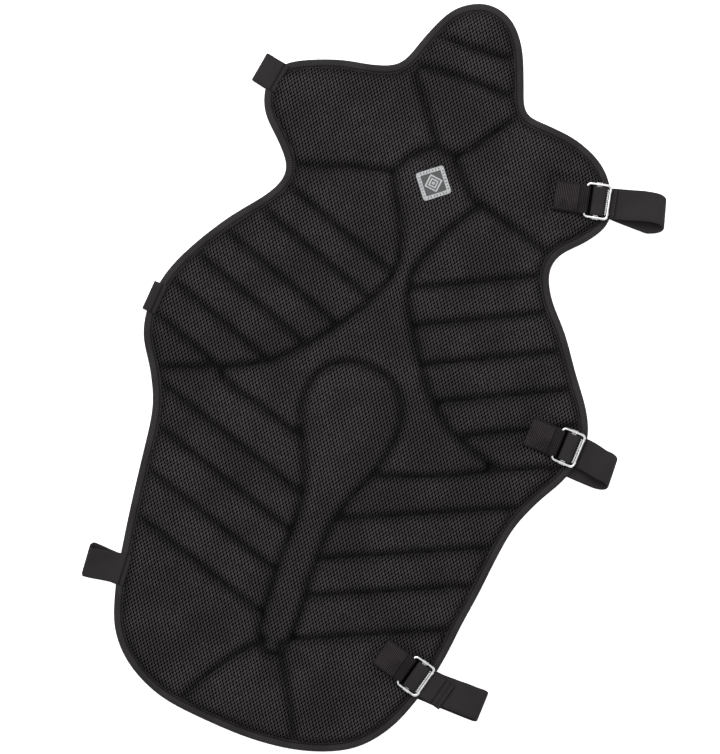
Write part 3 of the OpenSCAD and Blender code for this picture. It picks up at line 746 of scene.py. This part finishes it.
def buildAnchor(name, cloth):
    b, w = buckles[name], webbing
    inner = b.wireR + 0.05 * mm
    t, mid = w["thickness"], inner + w["thickness"] / 2
    z = b.hinge.z
    rings = [(-w["patch"], z - mid)]
    rings += [(u, z - mid) for u in np.linspace(-w["patch"] + 4 * mm, -1 * mm, 7)]
    rings += [(mid * math.cos(a), z + mid * math.sin(a)) for a in np.radians(np.linspace(-90, 90, 9))]
    rings += [(-2 * mm, z + mid - 0.25 * mm), (-5 * mm, z + mid - 1.0 * mm),
              (-9 * mm, z + t / 2 - inner + t * 0.02)]
    rings += [(u, z + t / 2 - inner) for u in np.linspace(-12 * mm, -w["patch"], 5)]
    full = [(b.at(u).x, b.at(u).y, h, b.turn) for u, h in rings]
    path, s = smoothPath(full, w["rib"] / 5)
    section = softSection(w["width"], t, across=11)
    fold = np.abs(s - s[-1] / 2)
    narrow = 1 - w["foldIn"] * (1 - shaped(2 * mm, 5 * mm, fold))
    # painted shade over the fold round the wire and in a line just past it
    groove = 0.45 * (1 - shaped(7 * mm, 8.5 * mm, fold)) + 0.8 * dent(fold, 8.6 * mm, 0.6 * mm)
    made = bandPiece(name + "_webbing", path, s, section, wave=0.05 * mm, seed=31,
                     wider=narrow, groove=groove)
    # raised ribs across the webbing
    co = np.array([v.co for v in made.data.vertices])
    place = np.zeros(len(co) * 3, np.float32)
    made.data.attributes["clothPlace"].data.foreach_get("vector", place)
    place = place.reshape(-1, 3)
    m = len(section)
    centre = np.repeat(path[:, :3], m, 0)
    up = np.repeat(bandFrame(path)[1], m, 0)
    fold = np.abs(place[:, 0] - s[-1] / 2)
    share = shaped(3 * mm, 7 * mm, fold)
    wave = np.abs(np.cos(math.pi * place[:, 0] / w["rib"])) - 0.5
    rel = ((co - centre) * up).sum(1)
    co += up * (np.sign(rel) * wave * w["ribHeight"] * share * 2)[:, None]
    # painted shade: a dark outline along the webbing's sides and ends
    ends = np.minimum(place[:, 0], s[-1] - place[:, 0])
    sides = w["width"] / 2 - np.abs(place[:, 1])
    edges = 0.7 * np.maximum(1 - shaped(0, 1.2 * mm, sides), 1 - shaped(0, 1 * mm, ends))
    setShare(made, "grooveShare", np.maximum(np.repeat(groove, m), edges))
    made.data.vertices.foreach_set("co", co.astype(np.float32).ravel())
    made.data.update()
    finished(made, cloth, stands=[name + "_anchor"])
    return made


stitching = {"size": 0.5 * mm, "length": 2.3 * mm, "pitch": 3.2 * mm, "boxIn": 2.6 * mm, "boxEnd": 10 * mm,
             "tailIn": 1.6 * mm, "tailSide": 1.3 * mm, "endIn": 2.6 * mm}


def stitchPiece(name, rows, node, material):
    # each stitch is a short thread that dips into the cloth at its two ends
    points, faces = [], []
    size, length, pitch = stitching["size"], stitching["length"], stitching["pitch"]
    sides, steps = 6, 6
    for a, b, z in rows:
        a, b = np.array(a, float), np.array(b, float)
        run = np.linalg.norm(b - a)
        ahead = (b - a) / run
        side = beside(ahead)
        count = max(1, int(run / pitch))
        for k in range(count):
            middle = a + ahead * run * (k + 0.5) / count
            base = len(points)
            for i in range(steps + 1):
                f = i / steps * 2 - 1
                arch = size * (0.75 - 1.15 * f * f)
                thick = size / 2 * (1 - 0.35 * f * f)
                for q in range(sides):
                    angle = 2 * math.pi * q / sides
                    xy = middle + ahead * f * length / 2 + side * thick * math.cos(angle)
                    points.append((xy[0], xy[1], z + arch + thick * math.sin(angle) - size * 0.35))
            faces += ringFaces(steps + 1, sides, base)
    made = newPiece(name, points, faces)
    fixNormals(made)
    return finished(made, material, stands=[node])


def feed(tree, socket, value):
    if isinstance(value, bpy.types.NodeSocket):
        tree.links.new(value, socket)
    else:
        socket.default_value = value


def add(tree, kind, inputs=None, **settings):
    made = tree.nodes.new(kind)
    for key, value in settings.items():
        setattr(made, key, value)
    for key, value in (inputs or {}).items():
        feed(tree, made.inputs[key], value)
    return made


def calc(tree, operation, *values):
    return add(tree, "ShaderNodeMath", dict(enumerate(values)), operation=operation).outputs[0]


def times(tree, a, b):
    return calc(tree, "MULTIPLY", a, b)


def noise(tree, place, scale, detail):
    return add(tree, "ShaderNodeTexNoise", {"Vector": place, "Scale": scale, "Detail": detail}).outputs


def marked(tree, name):
    return add(tree, "ShaderNodeAttribute", attribute_name=name).outputs


def spread(tree, value, low, high, to0=0.0, to1=1.0):
    return add(tree, "ShaderNodeMapRange", {"Value": value, "From Min": low, "From Max": high,
               "To Min": to0, "To Max": to1}, interpolation_type="SMOOTHSTEP").outputs["Result"]


def mixed(tree, share, a, b):
    made = add(tree, "ShaderNodeMix", data_type="RGBA")
    for key, value in ((0, share), (6, a), (7, b)):
        feed(tree, made.inputs[key], value)
    return made.outputs[2]


def newGroup(name, inputs, outputs):
    tree = bpy.data.node_groups.new(name, "ShaderNodeTree")
    for label, kind, value in inputs:
        socket = tree.interface.new_socket(label, in_out="INPUT", socket_type="NodeSocket" + kind)
        if value is not None:
            socket.default_value = value
    for label, kind in outputs:
        tree.interface.new_socket(label, in_out="OUTPUT", socket_type="NodeSocket" + kind)
    return tree, tree.nodes.new("NodeGroupInput").outputs, tree.nodes.new("NodeGroupOutput").inputs


def wave(tree, x, y, angle, pitch):
    # cosine of a set of parallel lines at that angle
    c, s = math.cos(math.radians(angle)), math.sin(math.radians(angle))
    along = calc(tree, "ADD", times(tree, x, c), times(tree, y, s))
    return calc(tree, "COSINE", times(tree, calc(tree, "DIVIDE", along, pitch), 2 * math.pi))


# the mesh's threads: angle in degrees, pitch as a share of the hole pitch, and weight
lattice = {"first": (30, 1, 1), "second": (-38.6, 1, 1), "rows": (-4.3, 0.605, 0.5),
           "crossed": (85.7, 0.887, -0.1), "pitch": 2.69 * mm, "holeSoft": (-1.25, 0.25)}


def airMeshGroup():
    # spacer mesh: staggered holes between lighter threads
    tree, given, out = newGroup("airMesh", [
        ("Place", "Vector", None), ("Pitch", "Float", lattice["pitch"]), ("Hole Size", "Float", 0.5),
        ("Wobble", "Float", 0.35 * mm)],
        [("Hole", "Float"), ("Height", "Float"), ("Fibre", "Float")])
    drift = noise(tree, given["Place"], 90.0, 3.0)["Color"]
    shift = add(tree, "ShaderNodeVectorMath", {0: drift, 1: (0.5, 0.5, 0.5)}, operation="SUBTRACT")
    scaled = add(tree, "ShaderNodeVectorMath", {0: shift.outputs[0], "Scale": given["Wobble"]},
                 operation="SCALE")
    place = add(tree, "ShaderNodeVectorMath", {0: given["Place"], 1: scaled.outputs[0]}, operation="ADD")
    split = add(tree, "ShaderNodeSeparateXYZ", {0: place.outputs[0]})
    x, y = split.outputs["X"], split.outputs["Y"]
    total = 0.0
    for key in ("first", "second", "rows", "crossed"):
        angle, share, weight = lattice[key]
        line = wave(tree, x, y, angle, times(tree, given["Pitch"], share))
        total = calc(tree, "MULTIPLY_ADD", line, weight, total)
    level = calc(tree, "MULTIPLY_ADD", given["Hole Size"], -3.0, 2.6)
    hole = spread(tree, calc(tree, "SUBTRACT", total, level), *lattice["holeSoft"])
    fine = noise(tree, given["Place"], 1050.0, 3.0)["Fac"]
    feed(tree, out["Hole"], hole)
    bumps = calc(tree, "MULTIPLY_ADD", fine, 0.22, calc(tree, "SUBTRACT", 1.0, hole))
    feed(tree, out["Height"], bumps)
    feed(tree, out["Fibre"], fine)
    return tree


def ribGroup():
    # woven or knitted tape: cords one way, fine ribs the other
    tree, given, out = newGroup("tapeWeave", [
        ("Place", "Vector", None), ("Rib Pitch", "Float", 1.2 * mm), ("Cord Pitch", "Float", 0.9 * mm),
        ("Balance", "Float", 0.5)],
        [("Height", "Float"), ("Shade", "Float")])
    split = add(tree, "ShaderNodeSeparateXYZ", {0: given["Place"]})
    tau = 2 * math.pi
    across = times(tree, calc(tree, "DIVIDE", split.outputs["Y"], given["Cord Pitch"]), tau)
    along = times(tree, calc(tree, "DIVIDE", split.outputs["X"], given["Rib Pitch"]), tau)
    cords = calc(tree, "COSINE", across)
    # every second cord is set half a rib further on
    step = times(tree, calc(tree, "COSINE", times(tree, across, 0.5)), 0.9)
    ribs = calc(tree, "COSINE", calc(tree, "ADD", along, step))
    both = calc(tree, "ADD", times(tree, cords, given["Balance"]),
                times(tree, ribs, calc(tree, "SUBTRACT", 1.0, given["Balance"])))
    fine = noise(tree, given["Place"], 1800.0, 2.0)["Fac"]
    height = calc(tree, "MULTIPLY_ADD", fine, 0.5, calc(tree, "MULTIPLY_ADD", both, 0.5, 0.25))
    feed(tree, out["Height"], height)
    # the weave's pattern, which also paints light on the raised cords and ribs and shade in the hollows
    # between
    feed(tree, out["Shade"], spread(tree, both, -0.8, 0.8))
    return tree


def lintGroup():
    # slow changes of tone and a few pale lint specks
    tree, given, out = newGroup("lintAndTone", [
        ("Place", "Vector", None), ("Tone Size", "Float", 60.0), ("Lint", "Float", 0.5)],
        [("Tone", "Float"), ("Specks", "Float")])
    slow = noise(tree, given["Place"], given["Tone Size"], 4.0)["Fac"]
    spots = add(tree, "ShaderNodeTexVoronoi",
                {"Vector": given["Place"], "Scale": 260.0, "Randomness": 1.0}).outputs["Distance"]
    some = spread(tree, noise(tree, given["Place"], 35.0, 2.0)["Fac"], 0.62, 0.72)
    feed(tree, out["Tone"], slow)
    feed(tree, out["Specks"], times(tree, times(tree, spread(tree, spots, 0.12, 0.04), some), given["Lint"]))
    return tree


airMesh, tapeWeave, lintAndTone = airMeshGroup(), ribGroup(), lintGroup()


def newMaterial(name):
    made = bpy.data.materials.new(name)
    made.use_nodes = True
    tree = made.node_tree
    tree.nodes.clear()
    shader = tree.nodes.new("ShaderNodeBsdfPrincipled")
    out = tree.nodes.new("ShaderNodeOutputMaterial")
    tree.links.new(shader.outputs[0], out.inputs[0])
    return made, tree, shader


def useGroup(tree, group, place, **values):
    made = add(tree, "ShaderNodeGroup", node_tree=group)
    feed(tree, made.inputs["Place"], place)
    for key, value in values.items():
        made.inputs[key.replace("_", " ")].default_value = value
    return made.outputs


def objectPlace(tree):
    return tree.nodes.new("ShaderNodeTexCoord").outputs["Object"]


def clothPlace(tree):
    return marked(tree, "clothPlace")["Vector"]


def grey(level, warm=0.0):
    return (level * (1 + warm), level, level * (1 + warm * 0.4), 1)


def bumped(tree, shader, height, distance, strength=1.0):
    made = add(tree, "ShaderNodeBump", {"Height": height, "Distance": distance, "Strength": strength})
    feed(tree, shader.inputs["Normal"], made.outputs[0])


def shine(tree, shader, **inputs):
    for key, value in inputs.items():
        feed(tree, shader.inputs[key.replace("_", " ")], value)


# pressed is the near-black colour of painted shade in the grooves, under the buckles and on the pads' slopes
meshLook = {"thread": grey(0.064, 0.09), "shaded": grey(0.020, 0.09), "hole": grey(0.0008),
            "pressed": grey(0.0042, 0.06), "pale": grey(0.12), "holeSize": 0.64, "depth": 0.6 * mm,
            "drift": 0.5 * mm}
# each look's last colour is painted shade for creases, seams, folds and edges
tapeLook = {"high": grey(0.042, 0.09), "low": grey(0.014, 0.09), "groove": grey(0.003)}
elasticLook = {"high": grey(0.032, 0.10), "low": grey(0.017, 0.10), "groove": grey(0.003)}
webLook = {"high": grey(0.041, 0.18), "low": grey(0.003, 0.18), "groove": grey(0.004)}
liningLook = {"high": grey(0.022), "low": grey(0.010), "groove": grey(0.004)}


def meshMaterial():
    made, tree, shader = newMaterial("spacerMesh")
    place = objectPlace(tree)
    weave = useGroup(tree, airMesh, place, Hole_Size=meshLook["holeSize"])
    lint = useGroup(tree, lintAndTone, place, Tone_Size=26.0, Lint=0.3)
    # painted shade: the grooves and the cover under the buckles go toward the pressed colour with fewer holes
    # showing, and the pads' slopes darken toward it
    coverShade, flankShade = marked(tree, "pressShare")["Fac"], marked(tree, "flankShare")["Fac"]
    thread = mixed(tree, spread(tree, weave["Fibre"], 0.3, 0.7), meshLook["shaded"], meshLook["thread"])
    toned = mixed(tree, spread(tree, lint["Tone"], 0.35, 0.65, 0.0, 0.5), thread, meshLook["shaded"])
    flankShaded = mixed(tree, times(tree, flankShade, 0.3), toned, meshLook["pressed"])
    # the holes' near-black colour is partly the dark cloth seen through them and partly painted shade for
    # their depth
    openShare = times(tree, weave["Hole"], calc(tree, "MULTIPLY_ADD", coverShade, -0.4, 1.0))
    colour = mixed(tree, openShare, mixed(tree, coverShade, flankShaded, meshLook["pressed"]), meshLook["hole"])
    shine(tree, shader, Base_Color=mixed(tree, lint["Specks"], colour, meshLook["pale"]),
          Roughness=spread(tree, weave["Hole"], 0, 1, 0.75, 1.0), Specular_IOR_Level=0.0)
    bumped(tree, shader, weave["Height"], meshLook["depth"], 0.8)
    return made


def bandMaterial(name, look, ribPitch, cordPitch, balance, depth, place=clothPlace):
    made, tree, shader = newMaterial(name)
    at = place(tree)
    weave = useGroup(tree, tapeWeave, at, Rib_Pitch=ribPitch, Cord_Pitch=cordPitch, Balance=balance)
    lint = useGroup(tree, lintAndTone, objectPlace(tree), Tone_Size=45.0, Lint=0.3)
    # the lighter and darker copies of the colour follow the weave: partly its pattern, partly painted light
    # and shade on its relief
    base = mixed(tree, weave["Shade"], look["low"], look["high"])
    toned = mixed(tree, spread(tree, lint["Tone"], 0.4, 0.6, 0.0, 0.4), base, look["low"])
    # painted shade: the attribute darkens creases, seams, folds and edges toward the look's darkest colour
    sewn = mixed(tree, marked(tree, "grooveShare")["Fac"], toned, look["groove"])
    shine(tree, shader, Base_Color=mixed(tree, lint["Specks"], sewn, grey(0.12)),
          Roughness=spread(tree, weave["Shade"], 0, 1, 0.9, 0.77), Specular_IOR_Level=0.05, Sheen_Weight=0.02)
    bumped(tree, shader, weave["Height"], depth, 0.8)
    return made


def plainMaterial(name, dark, light, rough, metallic=0.0, scale=400.0, depth=0.03 * mm, bump=0.6):
    # rough: the roughness on dark and on light spots
    made, tree, shader = newMaterial(name)
    tone = useGroup(tree, lintAndTone, objectPlace(tree), Tone_Size=scale, Lint=0.0)["Tone"]
    shine(tree, shader, Base_Color=mixed(tree, spread(tree, tone, 0.3, 0.7), dark, light),
          Roughness=spread(tree, tone, 0.3, 0.7, *rough), Metallic=metallic)
    bumped(tree, shader, tone, depth, bump)
    return made


spacerMesh = meshMaterial()
edgeTape = bandMaterial("edgeTape", tapeLook, 1.7 * mm, 1.3 * mm, 0.4, 0.2 * mm)
elasticKnit = bandMaterial("elasticKnit", elasticLook, 1.1 * mm, 0.75 * mm, 0.4, 0.12 * mm)
ribWebbing = bandMaterial("ribWebbing", webLook, 1.5 * mm, 0.5 * mm, 0.25, 0.1 * mm)
liningCloth = bandMaterial("liningCloth", liningLook, 0.9 * mm, 0.9 * mm, 0.5, 0.12 * mm, place=objectPlace)
blackThread = plainMaterial("blackThread", grey(0.012), grey(0.03), (0.54, 0.66), scale=2500.0)
foamFill = plainMaterial("foamFill", grey(0.05), grey(0.11), (0.84, 0.96), scale=1400.0, depth=0.4 * mm)
brightNickel = plainMaterial("brightNickel", (0.62, 0.62, 0.63, 1), (0.86, 0.86, 0.87, 1), (0.06, 0.16),
                             metallic=1.0, scale=900.0, depth=0.02 * mm, bump=0.5)
print("materials ready")


cover = gridSheet("mesh_cover", coverZ, edgeD > sheets["edgeIn"], sheets["coverT"])
co = np.array([v.co[:2] for v in cover.data.vertices])
# painted shade: the cover is darkened in the grooves between pads and where it lies under each buckle, less
# so near the outline
margin = 1 - shaped(11 * mm, 17 * mm, loopDistance(co, outline))
drift = np.stack([softNoise(co, 13 * mm, 61), softNoise(co, 13 * mm, 62)], 1) * meshLook["drift"]
sewn = (0.75 + 0.2 * softNoise(co, 16 * mm, 63)) * (1 - shaped(-2.9 * mm, -1.0 * mm, padField(co + drift)))
for b in buckles.values():
    u, v = b.local(co)
    under = shaped(0, 1 * mm, u) * shaped(0, 1 * mm, b.length - u)
    under *= shaped(0, 1.5 * mm, 14 * mm - np.abs(v))
    sewn = np.maximum(sewn, under)
    margin = margin * (1 - under)
setShare(cover, "pressShare", sewn * (1 - 0.6 * margin))
# painted shade on the pads' sides, darker toward the grooves
setShare(cover, "flankShare", 1 - shaped(-1 * mm, 6 * mm, padField(co)))
finished(cover, spacerMesh, stands=["front_mesh_cover"])

for name in foamNodes:
    pad = padMesh(name.replace("_foam", "_pad"), padLoops[name])
    finished(pad, foamFill, stands=[name])
print("pads ready")

crease = 1 - shaped(-2.5 * mm, 4 * mm, padD)
liningZ = liningLow + sheets["liningSink"] * crease * (edgeD > 9 * mm) + sheets["liningT"]
lining = gridSheet("back_cloth", blurred(liningZ, 2), edgeD > sheets["edgeIn"], sheets["liningT"])
finished(lining, liningCloth, stands=["back_lining"])

tape = makeBinding()
finished(tape, edgeTape, stands=["edge_binding"])
print("panel ready")

for name in buckles:
    buildStrap(name, elasticKnit)
    buildAnchor(name, ribWebbing)
    for part in ("_buckle_frame", "_slide_bar", "_grip_comb"):
        piece = nodes[name + part]
        piece.data.materials.clear()
        piece.data.materials.append(brightNickel)
print("straps and buckles ready")


def stitches():
    boxRows, tailRows, endRows = [], [], []
    for name, b in buckles.items():
        top = b.hinge.z - b.wireR - 0.05 * mm + webbing["thickness"] + 0.12 * mm
        u0, u1 = stitching["boxIn"] - webbing["patch"], -stitching["boxEnd"]
        v = webbing["width"] / 2 - stitching["boxIn"]
        corners = [b.at(u0, v=-v), b.at(u0, v=v), b.at(u1, v=v), b.at(u1, v=-v)]
        for a, c in zip(corners, corners[1:] + corners[:1]):
            boxRows.append((a[:2], c[:2], top))
        u = b.length + straps[name]["tail"] - stitching["tailIn"]
        half = straps["width"] / 2 - stitching["tailSide"]
        tailZ = b.hinge.z - b.wireR - straps["clipWall"] - straps["gap"] + 0.35 * mm
        tailRows.append((b.at(u, v=-half)[:2], b.at(u, v=half)[:2], tailZ))
        leftTurn = straps[name]["leftTurn"]
        leftTip, left = strapTip(name, leftTurn), heading(leftTurn)
        p = leftTip - left * (edgeDepth(leftTip, left) + straps["sewn"] - stitching["endIn"])
        side = beside(left)
        endZ = bindingTop + straps["gap"] + straps["thickness"] + 0.1 * mm
        endRows.append((p - side * half, p + side * half, endZ))
    stitchPiece("box_stitches", boxRows, "anchor_stitching", blackThread)
    stitchPiece("tail_stitches", tailRows, "tail_stitching", blackThread)
    stitchPiece("end_stitches", endRows, "strap_end_stitching", blackThread)


stitches()


badgeFacts = {"side": 25 * mm, "turn": 35, "thickness": 1.2 * mm, "corner": 2.2 * mm, "border": 3.4 * mm,
              "sunk": 0.4 * mm, "ticks": 7, "tickPitch": 2.7 * mm, "tick": (0.7 * mm, 1.5 * mm)}
# nested diamonds: size in mm, 0 for silver or 1 for dark, and height as a share of the thickness
diamonds = ((16.5, 0, 0.81), (12.8, 1, 0.85), (10.0, 0, 0.89), (6.2, 1, 0.94), (3.6, 0, 1.0))


def turned(x, y, degrees):
    a = math.radians(degrees)
    return x * math.cos(a) - y * math.sin(a), x * math.sin(a) + y * math.cos(a)


def roundedSquare(side, corner, count=6):
    h = side / 2 - corner
    points = []
    for cx, cy, a0 in ((h, h, 0), (-h, h, 90), (-h, -h, 180), (h, -h, 270)):
        for k in range(count + 1):
            a = math.radians(a0 + 90 * k / count)
            points.append((cx + corner * math.cos(a), cy + corner * math.sin(a)))
    return points


def plate(points, low, high, bevel):
    # a flat plate with a soft upper edge, as points and faces
    n = len(points)
    rings = [(1.0, low), (1.0, high - bevel), (1 - bevel / (badgeFacts["side"] / 2), high)]
    made = [(x * scale, y * scale, z) for scale, z in rings for x, y in points]
    return made, ringFaces(len(rings), n)


def buildBadge():
    low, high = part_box("badge")
    centre = (low + high) / 2
    side, thick, border = badgeFacts["side"], badgeFacts["thickness"], badgeFacts["border"]
    points, faces, slots = [], [], []

    def put(shape, level, bevel, material, place=(0, 0), turn=0.0):
        got, own = plate(shape, low.z - badgeFacts["sunk"], low.z + thick * level, bevel)
        start = len(points)
        for x, y, z in got:
            x, y = turned(x, y, turn)
            x, y = turned(x + place[0], y + place[1], badgeFacts["turn"])
            points.append((centre.x + x, centre.y + y, z))
        faces.extend(tuple(start + i for i in f) for f in own)
        slots.extend([material] * len(own))

    put(roundedSquare(side, badgeFacts["corner"]), 0.7, 0.25 * mm, 0)
    put(roundedSquare(side - 2 * border, 0.8 * mm), 0.76, 0.1 * mm, 1)
    # plain ticks round the border
    w, h = badgeFacts["tick"][0] / 2, badgeFacts["tick"][1] / 2
    for quarter in range(0, 360, 90):
        for k in range(badgeFacts["ticks"]):
            x = (k - (badgeFacts["ticks"] - 1) // 2) * badgeFacts["tickPitch"]
            put([(w, -h), (w, h), (-w, h), (-w, -h)], 0.8, 0.05 * mm, 1,
                turned(x, (side - border) / 2, quarter), quarter)
    for size, material, level in diamonds:
        h = size / 2 * mm
        put([(h, 0), (0, h), (-h, 0), (0, -h)], level, 0.1 * mm, material)
    made = newPiece("badge_plate", points, faces, smooth=False)
    fixNormals(made)
    silver = plainMaterial("badgeSilver", (0.28, 0.29, 0.30, 1), (0.42, 0.43, 0.44, 1), (0.32, 0.44),
                           scale=500.0)
    finished(made, silver, stands=["badge"])
    made.data.materials.append(plainMaterial("badgeDark", grey(0.03), grey(0.055), (0.44, 0.56), scale=500.0))
    made.data.polygons.foreach_set("material_index", slots)


buildBadge()
print("badge ready")


studio = {"world": 0.95, "worldSide": 0.15, "key": 22.0, "keySize": 1.4, "keyPlace": (-0.5, 0.9, 1.5),
          "floorReach": 6, "floorGlow": 0.7, "lens": 100.0, "tilt": 17.4,
          "centre": (-18.4 * mm, -6.9 * mm), "tall": 648 * mm}


def makeStudio():
    r = studio["floorReach"]
    floor = newPiece("studio_floor", [(-r, -r, 0), (r, -r, 0), (r, r, 0), (-r, r, 0)], [(0, 1, 2, 3)],
                     smooth=False)
    white, tree, shader = newMaterial("paleFloor")
    lint = useGroup(tree, lintAndTone, objectPlace(tree), Tone_Size=3.0, Lint=0.0)
    shine(tree, shader, Base_Color=mixed(tree, lint["Tone"], grey(0.93), grey(0.95)), Roughness=0.9,
          Specular_IOR_Level=0.1, Emission_Color=grey(1.0), Emission_Strength=studio["floorGlow"])
    floor.data.materials.append(white)
    world = bpy.data.worlds.new("studioAir")
    bpy.context.scene.world = world
    world.use_nodes = True
    # bright above, dark towards the sides
    air = world.node_tree
    way = add(air, "ShaderNodeSeparateXYZ", {0: air.nodes.new("ShaderNodeTexCoord").outputs["Generated"]})
    strength = spread(air, way.outputs["Z"], 0.1, 0.75, studio["worldSide"], studio["world"])
    shine(air, air.nodes["Background"], Color=grey(1.0), Strength=strength)
    light = bpy.data.lights.new("softBox", "AREA")
    light.energy, light.size = studio["key"], studio["keySize"]
    lamp = linked("softBox", light)
    lamp.location = studio["keyPlace"]
    lamp.rotation_euler = (Vector((0, 0, 0)) - lamp.location).to_track_quat("-Z", "Y").to_euler()
    camera = bpy.data.cameras.new("studioCamera")
    camera.lens = studio["lens"]
    holder = linked("studioCamera", camera)
    distance = studio["tall"] * studio["lens"] / camera.sensor_width
    holder.location = (*studio["centre"], distance + 8 * mm)
    holder.rotation_euler = (0, 0, math.radians(studio["tilt"]))
    bpy.context.scene.camera = holder
    bpy.context.scene.view_settings.view_transform = "Standard"


makeStudio()
print("scene ready")
